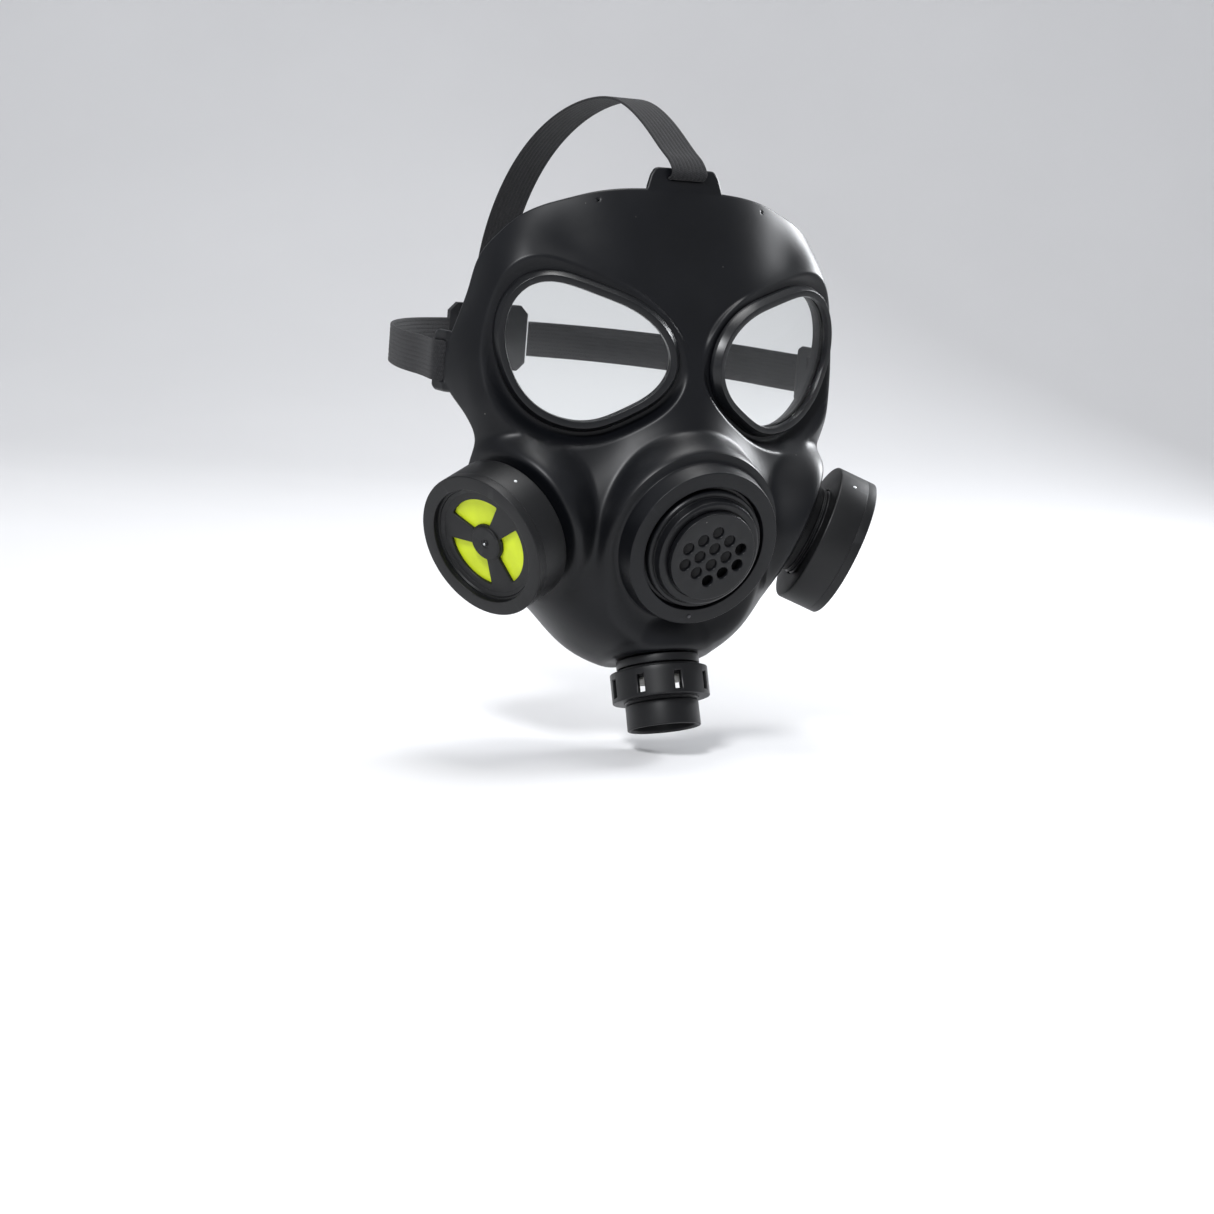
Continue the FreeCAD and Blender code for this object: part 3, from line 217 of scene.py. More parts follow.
def holed_plate(outer, holes, z_top, z_low, bev):
    """Flat plate with shaped holes, every rim rounded: returns verts, faces. The outer border is left open at top and bottom."""
    verts, faces = [], []
    def layer(z, hole_off, flip):
        base = len(verts)
        loops = [np.asarray(outer)[:, :2]] + [offset_loop(h, -hole_off) for h in holes]
        pts = [Vector((float(x), float(y))) for L in loops for x, y in L]
        cons, start = [], 0
        for L in loops:
            m = len(L); cons.append(list(range(start, start + m))); start += m
        edges = [(c[i], c[(i + 1) % len(c)]) for c in cons for i in range(len(c))]
        co, _, tris, *_r = delaunay_2d_cdt(pts, edges, [], 0, 1e-6)
        if len(co) != len(pts): raise RuntimeError("plate points merged")
        verts.extend([(c[0], c[1], z) for c in co])
        def inside(p, L):
            x, y = p; w = False
            for i in range(len(L)):
                (ax, ay), (bx, by) = L[i - 1], L[i]
                if (ay > y) != (by > y) and x < (bx - ax) * (y - ay) / (by - ay) + ax: w = not w
            return w
        for f in tris:
            c = sum((np.array(co[i]) for i in f), np.zeros(2)) / 3
            if inside(c, loops[0]) and not any(inside(c, L) for L in loops[1:]):
                faces.append([base + i for i in (f if not flip else f[::-1])])
        return base, [np.array(c) + base for c in cons]
    _, top = layer(z_top, bev, False)
    _, low = layer(z_low, bev, True)
    for hi, h in enumerate(holes):
        m = len(h)
        prev = top[hi + 1]
        for k in range(1, 4):
            a = math.pi / 2 * k / 3
            L = offset_loop(h, -bev * (1 - math.sin(a)))
            z = z_top - bev * (1 - math.cos(a))
            cur = np.arange(len(verts), len(verts) + m); verts.extend([(x, y, z) for x, y in L])
            faces.extend([[prev[i], cur[i], cur[(i + 1) % m], prev[(i + 1) % m]] for i in range(m)])
            prev = cur
        for k in range(2, -1, -1):
            a = math.pi / 2 * k / 3
            if k == 0: cur = low[hi + 1]
            else:
                L = offset_loop(h, -bev * (1 - math.sin(a)))
                cur = np.arange(len(verts), len(verts) + m); verts.extend([(x, y, z_low + bev * (1 - math.cos(a))) for x, y in L])
            faces.extend([[prev[i], cur[i], cur[(i + 1) % m], prev[(i + 1) % m]] for i in range(m)])
            prev = cur
    return verts, faces, top[0], low[0]


def add_lathe_to(verts, faces, prof, top_loop, low_loop, z_close=True):
    """Join a turned profile, from the plate's top border round to its low border."""
    m = len(top_loop)
    prev = list(top_loop)
    ang = [math.atan2(verts[i][1], verts[i][0]) for i in top_loop]
    for (r, z) in prof:
        cur = list(range(len(verts), len(verts) + m))
        verts.extend([(r * math.cos(a), r * math.sin(a), z) for a in ang])
        faces.extend([[prev[i], prev[(i + 1) % m], cur[(i + 1) % m], cur[i]] for i in range(m)])
        prev = cur
    faces.extend([[prev[i], prev[(i + 1) % m], low_loop[(i + 1) % m], low_loop[i]] for i in range(m)])


# ------------------------------------------------------------------ materials
def nodes_of(name):
    m = bpy.data.materials.new(name); m.use_nodes = True
    nt = m.node_tree; nt.nodes.clear()
    out = nt.nodes.new("ShaderNodeOutputMaterial"); b = nt.nodes.new("ShaderNodeBsdfPrincipled")
    nt.links.new(b.outputs[0], out.inputs[0])
    return m, nt, b


def ramp(nt, fac, stops):
    r = nt.nodes.new("ShaderNodeValToRGB"); e = r.color_ramp.elements
    while len(e) > 1: e.remove(e[-1])
    e[0].position, e[0].color = stops[0]
    for p, c in stops[1:]:
        k = e.new(p); k.color = c
    nt.links.new(fac, r.inputs[0])
    return r.outputs[0]


def noise(nt, co, scale, detail=4.0, rough=0.55, dist=0.0):
    n = nt.nodes.new("ShaderNodeTexNoise"); n.inputs["Scale"].default_value = scale
    n.inputs["Detail"].default_value = detail; n.inputs["Roughness"].default_value = rough; n.inputs["Distortion"].default_value = dist
    nt.links.new(co, n.inputs["Vector"])
    return n.outputs[0]


def grey(v): return (v, v, v, 1)


def bump(nt, b, height, strength, dist, prev=None):
    k = nt.nodes.new("ShaderNodeBump"); k.inputs["Strength"].default_value = strength; k.inputs["Distance"].default_value = dist
    nt.links.new(height, k.inputs["Height"])
    if prev is not None: nt.links.new(prev, k.inputs["Normal"])
    return k.outputs[0]


def moulded(name, base, rough, grain=2600.0, grain_amt=0.06, blotch=0.05, spec=0.5, coat=0.0, dust=0.0, wear=0.0, scratch=0.0):
    """Moulded black rubber or plastic: fine grain, slow tone change, dust specks, lighter worn edges."""
    m, nt, b = nodes_of(name)
    tc = nt.nodes.new("ShaderNodeTexCoord"); co = tc.outputs["Object"]
    n1 = noise(nt, co, 28.0, 5.0)
    lo = tuple(x * 0.82 for x in base); hi = tuple(min(1, x * 1.22) for x in base)
    col = ramp(nt, n1, [(0.3, (*lo, 1)), (0.7, (*hi, 1))])
    if dust > 0:
        v = nt.nodes.new("ShaderNodeTexVoronoi"); v.inputs["Scale"].default_value = 150.0; v.inputs["Randomness"].default_value = 1.0
        nt.links.new(co, v.inputs["Vector"])
        spot = ramp(nt, v.outputs["Distance"], [(0.0, grey(1)), (0.035, grey(1)), (0.055, grey(0))])
        n2 = noise(nt, co, 60.0, 2.0)
        gate = ramp(nt, n2, [(0.60, grey(0)), (0.66, grey(1))])
        mul = nt.nodes.new("ShaderNodeMath"); mul.operation = "MULTIPLY"; nt.links.new(spot, mul.inputs[0]); nt.links.new(gate, mul.inputs[1])
        mul2 = nt.nodes.new("ShaderNodeMath"); mul2.operation = "MULTIPLY"; mul2.inputs[1].default_value = dust; nt.links.new(mul.outputs[0], mul2.inputs[0])
        mx = nt.nodes.new("ShaderNodeMix"); mx.data_type = "RGBA"; nt.links.new(mul2.outputs[0], mx.inputs["Factor"])
        nt.links.new(col, mx.inputs["A"]); mx.inputs["B"].default_value = (0.35, 0.34, 0.32, 1)
        col = mx.outputs["Result"]
    if wear > 0:
        g = nt.nodes.new("ShaderNodeNewGeometry")
        edge = ramp(nt, g.outputs["Pointiness"], [(0.51, grey(0)), (0.60, grey(1))])
        n3 = noise(nt, co, 90.0, 4.0)
        part = ramp(nt, n3, [(0.35, grey(0)), (0.65, grey(1))])
        mu = nt.nodes.new("ShaderNodeMath"); mu.operation = "MULTIPLY"; nt.links.new(edge, mu.inputs[0]); nt.links.new(part, mu.inputs[1])
        mu2 = nt.nodes.new("ShaderNodeMath"); mu2.operation = "MULTIPLY"; mu2.inputs[1].default_value = wear; nt.links.new(mu.outputs[0], mu2.inputs[0])
        mx = nt.nodes.new("ShaderNodeMix"); mx.data_type = "RGBA"; nt.links.new(mu2.outputs[0], mx.inputs["Factor"])
        nt.links.new(col, mx.inputs["A"]); mx.inputs["B"].default_value = (*[min(1, x * 3.2 + 0.02) for x in base], 1)
        col = mx.outputs["Result"]
    nt.links.new(col, b.inputs["Base Color"])
    n4 = noise(nt, co, 45.0, 6.0, 0.6)
    rg = ramp(nt, n4, [(0.25, grey(max(0.02, rough - blotch))), (0.75, grey(min(1, rough + blotch)))])
    nt.links.new(rg, b.inputs["Roughness"])
    n5 = noise(nt, co, grain, 2.0, 0.5)
    bp = bump(nt, b, n5, grain_amt, 0.0002)
    n6 = noise(nt, co, 70.0, 2.0, 0.5)
    bp = bump(nt, b, n6, 0.10, 0.0006, bp)
    nt.links.new(bp, b.inputs["Normal"])
    b.inputs["Specular IOR Level"].default_value = spec
    b.inputs["Coat Weight"].default_value = coat; b.inputs["Coat Roughness"].default_value = 0.25
    return m


M_SHELL = moulded("shell_rubber", (0.0030, 0.0034, 0.0046), 0.40, 2400, 0.05, 0.05, 0.26, 0.0, 0.4, 0.25)
M_BEZEL = moulded("bezel_black", (0.0030, 0.0034, 0.0044), 0.31, 2400, 0.03, 0.04, 0.38, 0.0, 0.15, 0.3)
M_PLAST = moulded("moulded_black", (0.0032, 0.0034, 0.0042), 0.42, 3000, 0.07, 0.05, 0.34, 0.0, 0.3, 0.35)
M_CAN = moulded("canister_black", (0.0034, 0.0036, 0.0042), 0.46, 3200, 0.08, 0.05, 0.32, 0.0, 0.5, 0.4)
M_GLOSS = moulded("grille_black", (0.0032, 0.0035, 0.0044), 0.36, 2600, 0.04, 0.05, 0.30, 0.0, 0.3, 0.35)
M_SEAL = moulded("seal_rubber", (0.02, 0.02, 0.021), 0.6, 2600, 0.06)
M_DARK = moulded("inner_dark", (0.008, 0.008, 0.009), 0.6, 2600, 0.05)
M_SIL = moulded("valve_silicone", (0.55, 0.54, 0.50), 0.42, 1800, 0.03)
M_YEL = moulded("indicator_yellow", (0.60, 0.72, 0.018), 0.45, 1800, 0.03, 0.04, 0.35, 0.0)
M_FELT = moulded("filter_felt", (0.62, 0.62, 0.58), 0.95, 900, 0.5)
M_CARB = moulded("carbon_granules", (0.012, 0.012, 0.012), 0.7, 500, 0.9)
M_SCR = moulded("screen_grey", (0.05, 0.05, 0.055), 0.45, 1500, 0.1)
M_FILM = moulded("diaphragm_film", (0.012, 0.012, 0.013), 0.55, 900, 0.1)


def steel():
    m, nt, b = nodes_of("screw_steel")
    tc = nt.nodes.new("ShaderNodeTexCoord")
    n = noise(nt, tc.outputs["Object"], 900.0, 3.0)
    nt.links.new(ramp(nt, n, [(0.3, (0.42, 0.43, 0.45, 1)), (0.7, (0.66, 0.67, 0.68, 1))]), b.inputs["Base Color"])
    nt.links.new(ramp(nt, n, [(0.3, grey(0.22)), (0.7, grey(0.40))]), b.inputs["Roughness"])
    b.inputs["Metallic"].default_value = 1.0
    return m


M_STEEL = steel()


def glass():
    m, nt, b = nodes_of("lens_clear")
    tc = nt.nodes.new("ShaderNodeTexCoord")
    n = noise(nt, tc.outputs["Object"], 35.0, 6.0, 0.65)
    nt.links.new(ramp(nt, n, [(0.35, grey(0.0)), (0.8, grey(0.05))]), b.inputs["Roughness"])
    b.inputs["Base Color"].default_value = (0.97, 0.985, 0.98, 1)
    b.inputs["Transmission Weight"].default_value = 1.0
    b.inputs["IOR"].default_value = 1.38
    n2 = noise(nt, tc.outputs["Object"], 14.0, 1.0)
    nt.links.new(bump(nt, b, n2, 0.05, 0.0006), b.inputs["Normal"])
    return m


M_GLASS = glass()


def webbing():
    """Ribbed elastic: dark polyester, fine cross weave between the ribs. The ribs are geometry; u runs along in metres."""
    m, nt, b = nodes_of("webbing_black")
    uv = nt.nodes.new("ShaderNodeUVMap"); uv.uv_map = "weave"
    sep = nt.nodes.new("ShaderNodeSeparateXYZ"); nt.links.new(uv.outputs[0], sep.inputs[0])
    def wave(src, freq, phase=0.0):
        a = nt.nodes.new("ShaderNodeMath"); a.operation = "MULTIPLY_ADD"; a.inputs[1].default_value = freq * 2 * math.pi; a.inputs[2].default_value = phase
        nt.links.new(src, a.inputs[0])
        s = nt.nodes.new("ShaderNodeMath"); s.operation = "SINE"; nt.links.new(a.outputs[0], s.inputs[0])
        return s.outputs[0]
    along = wave(sep.outputs[0], 1.0 / 0.75)       # picks across the strap, 0.75 mm apart
    rib = wave(sep.outputs[1], 1.0 / 1.0)
    mu = nt.nodes.new("ShaderNodeMath"); mu.operation = "MULTIPLY"; nt.links.new(along, mu.inputs[0]); nt.links.new(rib, mu.inputs[1])
    ad = nt.nodes.new("ShaderNodeMath"); ad.operation = "MULTIPLY_ADD"; ad.inputs[1].default_value = 0.5; ad.inputs[2].default_value = 0.5; nt.links.new(mu.outputs[0], ad.inputs[0])
    tc = nt.nodes.new("ShaderNodeTexCoord")
    n = noise(nt, tc.outputs["Object"], 900.0, 4.0, 0.7)
    mix = nt.nodes.new("ShaderNodeMath"); mix.operation = "MULTIPLY_ADD"; mix.inputs[1].default_value = 0.6; nt.links.new(ad.outputs[0], mix.inputs[0]); nt.links.new(n, mix.inputs[2])
    nt.links.new(ramp(nt, mix.outputs[0], [(0.25, (0.003, 0.003, 0.0035, 1)), (0.75, (0.009, 0.009, 0.010, 1)), (1.0, (0.020, 0.020, 0.022, 1))]), b.inputs["Base Color"])
    b.inputs["Roughness"].default_value = 0.82
    b.inputs["Specular IOR Level"].default_value = 0.3; b.inputs["Sheen Weight"].default_value = 0.05; b.inputs["Sheen Roughness"].default_value = 0.5
    bp = bump(nt, b, mix.outputs[0], 0.55, 0.0003)
    nt.links.new(bp, b.inputs["Normal"])
    return m


M_WEB = webbing()


def thread_mat(name, c):
    m, nt, b = nodes_of(name)
    tc = nt.nodes.new("ShaderNodeTexCoord")
    n = noise(nt, tc.outputs["Object"], 2500.0, 2.0)
    nt.links.new(ramp(nt, n, [(0.3, (*[x * 0.6 for x in c], 1)), (0.7, (*c, 1))]), b.inputs["Base Color"])
    b.inputs["Roughness"].default_value = 0.8
    return m


M_THREAD = thread_mat("thread_grey", (0.16, 0.16, 0.165))
M_THREAD_D = thread_mat("thread_dark", (0.03, 0.03, 0.032))


# ------------------------------------------------------------------ lens outline
_theta = np.arange(12) * (2 * math.pi / 12)


def periodic_m(r):
    n = len(r); A = np.zeros((n, n)); b = np.zeros(n)
    for i in range(n):
        A[i, (i - 1) % n] += 1; A[i, i] += 4; A[i, (i + 1) % n] += 1
        b[i] = 6 * (r[(i - 1) % n] - 2 * r[i] + r[(i + 1) % n])
    return np.linalg.solve(A, b)


_R = np.array(LENS_RADII); _MM = periodic_m(_R)


def radius_at(th):
    u = (np.asarray(th) % (2 * math.pi)) / (2 * math.pi / 12)
    i = np.floor(u).astype(int) % 12; f = u - np.floor(u); j = (i + 1) % 12; g = 1 - f
    return g * _R[i] + f * _R[j] + ((g ** 3 - g) * _MM[i] + (f ** 3 - f) * _MM[j]) / 6


def lens_loop(over, n=240):
    th = np.linspace(0, 2 * math.pi, 1440, endpoint=False); r = radius_at(th)
    P = np.c_[r * np.cos(th), r * np.sin(th)]
    t_ = np.roll(P, -1, 0) - np.roll(P, 1, 0); t_ /= np.linalg.norm(t_, axis=1)[:, None]
    P = P + over * np.c_[t_[:, 1], -t_[:, 0]]
    s = np.r_[0, np.cumsum(np.linalg.norm(np.diff(np.r_[P, P[:1]], axis=0), axis=1))]
    q = np.linspace(0, s[-1], n, endpoint=False); Q = np.r_[P, P[:1]]
    return np.c_[np.interp(q, s, Q[:, 0]), np.interp(q, s, Q[:, 1])]


_LP = lens_loop(0.0, 160)


def lens_gap(x, y):
    """Signed distance from the lens outline for arrays of points, negative inside."""
    P = np.c_[x, y]; best = np.full(len(P), 1e9); ins = np.zeros(len(P), bool)
    for i in range(len(_LP)):
        a, b = _LP[i - 1], _LP[i]; d = b - a
        f = np.clip(((P - a) @ d) / d.dot(d), 0, 1)
        best = np.minimum(best, np.hypot(P[:, 0] - a[0] - f * d[0], P[:, 1] - a[1] - f * d[1]))
        c = ((a[1] > P[:, 1]) != (b[1] > P[:, 1])) & (P[:, 0] < (b[0] - a[0]) * (P[:, 1] - a[1]) / (b[1] - a[1] + 1e-12) + a[0])
        ins ^= c
    return np.where(ins, -best, best)


# ------------------------------------------------------------------ face shell surface
def unit(v): return v / np.linalg.norm(v, axis=-1, keepdims=True)


def fit_form():
    P = []
    for c in FORM:
        P.append(c)
        if c[0] > 0: P.append((-c[0], c[1], c[2]))
    V = np.array(P, float) - CENTRE; r = np.linalg.norm(V, axis=1); D = V / r[:, None]
    K = np.linalg.norm(D[:, None] - D[None], axis=2) ** 3; n = len(P); Qm = np.c_[np.ones(n), D]
    A = np.block([[K + 2e-4 * np.eye(n), Qm], [Qm.T, np.zeros((4, 4))]])
    return D, np.linalg.solve(A, np.r_[r, np.zeros(4)])


FD, FW = fit_form()


def form_radius(d):
    out = np.empty(len(d))
    for k in range(0, len(d), 8000):
        q = d[k:k + 8000]
        K = np.linalg.norm(q[:, None] - FD[None], axis=2) ** 3
        out[k:k + 8000] = K @ FW[:-4] + FW[-4] + q @ FW[-3:]
    return out


def smooth(x):
    x = np.clip(x, 0, 1)
    return x * x * x * (x * (6 * x - 15) + 10)


def onto(d, r, origin, axis, level, gap, inner, outer):
    fall = d @ axis
    ok = fall > 0.25
    reach = np.where(ok, ((origin - CENTRE) @ axis + level) / np.where(ok, fall, 1.0), r)
    v = CENTRE + d * reach[:, None] - origin
    v -= (v @ axis)[:, None] * axis
    g = np.full(len(d), 1e9)
    near = ok & (np.linalg.norm(v, axis=1) < 75)
    if near.any(): g[near] = gap(v[near])
    w = 1 - smooth((g - inner) / (outer - inner))
    return r + w * (reach - r)


def shell_radius(d):
    d = d.copy()
    d[:, 0] = np.abs(d[:, 0])
    r = form_radius(d)
    c, x, y, n = lens_frame(1)
    g = lambda v: lens_gap(v @ x, v @ y)
    # seat that the bezel stands on
    r = onto(d, r, c, n, -5.0, g, 6.2, 10.4)
    o, _, _, a = can_frame(1)
    norm = lambda v: np.linalg.norm(v, axis=1)
    r = onto(d, r, o, a, -25.5, norm, 27.5, 41.0)
    r = onto(d, r, SP[0], SP[3], -9.3, norm, 36.5, 49.0)
    r = onto(d, r, OUT[0], OUT[3], -0.3, norm, 18.5, 28.0)
    return r


def along(points, n):
    """Evenly spaced points on a smooth curve through points."""
    P = np.array(points, float); s = np.r_[0, np.cumsum(np.linalg.norm(np.diff(P, axis=0), axis=1))]
    m = len(P); h = np.diff(s)
    out = []
    q = np.linspace(0, s[-1], 2000)
    for k in range(P.shape[1]):
        A = np.zeros((m, m)); b = np.zeros(m); A[0, 0] = A[-1, -1] = 1
        for i in range(1, m - 1):
            A[i, i - 1], A[i, i], A[i, i + 1] = h[i - 1], 2 * (h[i - 1] + h[i]), h[i]
            b[i] = 6 * ((P[i + 1, k] - P[i, k]) / h[i] - (P[i, k] - P[i - 1, k]) / h[i - 1])
        M2 = np.linalg.solve(A, b)
        i = np.clip(np.searchsorted(s, q, side="right") - 1, 0, m - 2); f = (q - s[i]) / h[i]; g = 1 - f
        out.append(g * P[i, k] + f * P[i + 1, k] + ((g ** 3 - g) * M2[i] + (f ** 3 - f) * M2[i + 1]) * h[i] ** 2 / 6)
    C = np.array(out).T
    L = np.r_[0, np.cumsum(np.linalg.norm(np.diff(C, axis=0), axis=1))]
    u = np.linspace(0, L[-1], n)
    return np.c_[[np.interp(u, L, C[:, k]) for k in range(C.shape[1])]].T


def build_shell():
    half, nv = ((130, 360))
    top = unit(along(TOP_EDGE, half + 1) - CENTRE)
    low = unit(along(LOW_EDGE, half + 1) - CENTRE)
    side = unit(along(SIDE_EDGE, nv) - CENTRE)
    a0 = math.atan2(top[0][2], -top[0][1]); a1 = math.atan2(low[0][2], -low[0][1])
    an = np.linspace(a0, a1, nv); mid = np.c_[np.zeros(nv), -np.cos(an), np.sin(an)]
    u = np.linspace(0, 1, half + 1)[None, :, None]; v = np.linspace(0, 1, nv)[:, None, None]
    G = mid[:, None] * (1 - u) + side[:, None] * u + top[None] * (1 - v) + low[None] * v
    G = G - (top[0] * (1 - u) * (1 - v) + side[0] * u * (1 - v) + low[0] * (1 - u) * v + side[-1] * u * v)
    G = unit(G)
    R = shell_radius(G.reshape(-1, 3)).reshape(nv, half + 1)
    P = CENTRE + G * R[..., None]
    P[:, 0, 0] = 0.0
    # forehead tab: more rows above the top border, for the columns under the tab
    base = P[0]
    tcol = int(np.argmin(np.abs(base[:, 0] - 18.0)))
    levels = [74.9, 75.9, 76.9, 77.5, 78.3, 79.2, 80.0, 80.8, 81.5, 81.95, 82.2]
    V, F = [], []
    idx = -np.ones((nv, 2 * half + 1), int)
    def vert(p):
        V.append(p); return len(V) - 1
    for j in range(nv):
        for i in range(2 * half + 1):
            k = i - half; p = P[j, abs(k)].copy()
            if k < 0: p[0] = -p[0]
            idx[j, i] = vert(p)
    for j in range(nv - 1):
        for i in range(2 * half): F.append((idx[j, i], idx[j, i + 1], idx[j + 1, i + 1], idx[j + 1, i]))
    slope = 0.16
    prev = [idx[0, half + k] for k in range(-tcol, tcol + 1)]
    scol = int(np.argmin(np.abs(base[:, 0] * (1 - 0.1667 * 0.6) - 9.4)))
    for li, z in enumerate(levels):
        cur = []
        for k in range(-tcol, tcol + 1):
            b = base[abs(k)]
            f = (z - b[2]) / (82.2 - b[2])
            wide = 1 - 0.1667 * f
            x = b[0] * wide
            # rounded top corners
            zz = z
            lim = 18.0 * wide
            if f > 0.7 and x > lim - 2.2:
                q = min(1.0, (x - (lim - 2.2)) / 2.2); drop = 2.2 * (1 - math.sqrt(max(0.0, 1 - q * q))) * (f - 0.7) / 0.3
                zz = z - drop
            y = b[1] + slope * (zz - b[2]) - 0.25 * f
            cur.append(vert(np.array([math.copysign(x, k) if k else 0.0, y, zz])))
        for k in range(2 * tcol):
            a = k - tcol
            if z > 77.6 and z < 80.1 and -scol <= a < scol: continue      # strap slot
            F.append((cur[k], cur[k + 1], prev[k + 1], prev[k]))
        prev = cur
    # temple ears: more columns beyond the side border
    zr = P[:, half, 2]
    rows = [j for j in range(nv) if abs(zr[j] - EAR_Z) < EAR_TALL / 2 + 0.2 and P[j, half, 1] > 28]
    ys = [EAR_SLOT_Y - EAR_SLOT_GAP / 2, EAR_SLOT_Y - 0.4, EAR_SLOT_Y + EAR_SLOT_GAP / 2, 43.4, 45.0, 46.8, 48.4, 49.5, 50.2, EAR_END]
    for sgn in (1, -1):
        prevc = [idx[j, half + sgn * half] for j in rows]
        m = len(rows); zt, zb = zr[rows[0]], zr[rows[-1]]
        for yi, y in enumerate(ys):
            cur = []
            for jj, j in enumerate(rows):
                z = zr[j]; e = P[j, half]
                f = (yi + 1) / len(ys)
                yy = y
                h = abs((z - EAR_Z) / (EAR_TALL / 2))
                if y > 47 and h > 0.86: yy = y - (y - 47) * ((h - 0.86) / 0.14) ** 2 * 0.7
                yy = max(yy, e[1] + 0.25 * (yi + 1))
                w = min(1.0, (yy - e[1]) / 3.0)
                x = e[0] * (1 - w) + EAR_X * w
                cur.append(vert(np.array([sgn * x, yy, z])))
            for k in range(m - 1):
                zc = 0.5 * (zr[rows[k]] + zr[rows[k + 1]])
                if yi in (1, 2) and abs(zc - EAR_Z) < EAR_SLOT_TALL / 2: continue
                q = (prevc[k], cur[k], cur[k + 1], prevc[k + 1])
                F.append(q if sgn > 0 else q[::-1])
            prevc = cur
    V = np.array(V); F = np.array(F)
    # openings: drop the faces inside, then pull the rim vertices to the true line
    drop = np.zeros(len(V), bool); pull = []
    c, x, y, n = lens_frame(1)
    A = V.copy(); A[:, 0] = np.abs(A[:, 0])
    units = []
    q = A - c; g = np.full(len(V), 1e9); nr = (np.abs(q @ n) < 25) & (np.linalg.norm(q, axis=1) < 60)
    g[nr] = lens_gap((q @ x)[nr], (q @ y)[nr]); units.append((g - 3.6, c, n, "lens"))
    for (o, xx, yy2, a), rad, dep in ((can_frame(1), 20.5, 34), (SP, 27.9, 30), (OUT, 13.7, 16)):
        q = A - o; s = q @ a; rr = np.sqrt(np.maximum((q ** 2).sum(1) - s * s, 0))
        g = np.where(np.abs(s) < dep, rr - rad, 1e9); units.append((g, o, a, "round"))
    for hx, hy, hz in ((40.1, 10.95, 67.4),):
        q = A - np.array([hx, hy, hz]); g = np.where(np.abs(q[:, 1]) < 12, np.hypot(q[:, 0], q[:, 2]) - 1.0, 1e9); units.append((g, np.array([hx, hy, hz]), np.array([0, -1.0, 0]), "round"))
    for g, o, a, kind in units: drop |= g < 0
    keep = ~drop[F].all(axis=1)
    # a face stays if its centre is outside every opening
    cen = V[F].mean(1); Ac = cen.copy(); Ac[:, 0] = np.abs(Ac[:, 0])
    for g, o, a, kind in units:
        gm = g[F].mean(1); keep &= ~(gm < 0)
    F = F[keep]
    # rim vertices
    cnt = {}
    for f in F:
        for i in range(4):
            e = (min(f[i], f[(i + 1) % 4]), max(f[i], f[(i + 1) % 4])); cnt[e] = cnt.get(e, 0) + 1
    rim = sorted({v for e, k in cnt.items() if k == 1 for v in e})
    rim = np.array(rim)
    for g, o, a, kind in units:
        near = rim[np.abs(g[rim]) < 1.6]
        for i in near:
            s = 1 if V[i, 0] >= 0 else -1
            p = V[i].copy(); p[0] = abs(p[0])
            if kind == "round":
                q = p - o; h = q @ a; rad = q - h * a; L = np.linalg.norm(rad)
                p = o + h * a + rad * (L - g[i]) / L
            else:
                qx, qy = (p - o) @ x, (p - o) @ y; e = 0.05
                gx = (lens_gap(np.array([qx + e]), np.array([qy]))[0] - lens_gap(np.array([qx - e]), np.array([qy]))[0]) / (2 * e)
                gy = (lens_gap(np.array([qx]), np.array([qy + e]))[0] - lens_gap(np.array([qx]), np.array([qy - e]))[0]) / (2 * e)
                L = math.hypot(gx, gy) or 1.0
                p = p - (x * gx + y * gy) * g[i] / L
            p[0] *= s; V[i] = p
    # tidy numbering
    used = np.unique(F); new = -np.ones(len(V), int); new[used] = np.arange(len(used)); V = V[used]; F = new[F]
    # vertex normals, outward
    fn = np.cross(V[F[:, 2]] - V[F[:, 0]], V[F[:, 3]] - V[F[:, 1]])
    s = np.sign(np.median(np.einsum("ij,ij->i", fn, V[F].mean(1) - CENTRE)))
    if s < 0: F = F[:, ::-1]; fn = -fn
    N = np.zeros_like(V)
    for k in range(4): np.add.at(N, F[:, k], fn)
    N = unit(N)
    # soften normals a little so that the inner face doesn't fold
    E = np.concatenate([F[:, [0, 1]], F[:, [1, 2]], F[:, [2, 3]], F[:, [3, 0]]])
    for _ in range(6):
        S = np.zeros_like(N); C = np.zeros(len(N))
        np.add.at(S, E[:, 0], N[E[:, 1]]); np.add.at(S, E[:, 1], N[E[:, 0]]); np.add.at(C, E[:, 0], 1); np.add.at(C, E[:, 1], 1)
        N = unit(0.5 * N + 0.5 * S / C[:, None])
    inner = V - N * THICK
    nV = len(V)
    allV = [V, inner]; faces = [tuple(f) for f in F] + [tuple(int(i) + nV for i in f[::-1]) for f in F]
    # rounded rims on every open border
    he = {}
    for f in F:
        for i in range(4): he[(int(f[i]), int(f[(i + 1) % 4]))] = 1
    border = [e for e in he if (e[1], e[0]) not in he]
    out = {}
    for a, b in border:
        d = V[b] - V[a]; m = np.cross(d, N[a] + N[b]); L = np.linalg.norm(m)
        if L < 1e-9: continue
        for k in (a, b): out[k] = out.get(k, np.zeros(3)) + m / L
    mids = {}
    count = 2 * nV; extra = []
    for k, m in out.items():
        m = m / max(np.linalg.norm(m), 1e-9); ids = [k]
        for ph in (0.2, 0.4, 0.6, 0.8):
            a = math.pi * ph
            extra.append((V[k] + inner[k]) / 2 + (V[k] - inner[k]) / 2 * math.cos(a) + m * (THICK * 0.42) * math.sin(a)); ids.append(count); count += 1
        ids.append(k + nV); mids[k] = ids
    for a, b in border:
        A_, B_ = mids[a], mids[b]
        for k in range(len(A_) - 1): faces.append((A_[k + 1], B_[k + 1], B_[k], A_[k]))
    allV.append(np.array(extra))
    return make("face_shell_skin", np.concatenate(allV), faces, M_SHELL, "mask", 50.0)


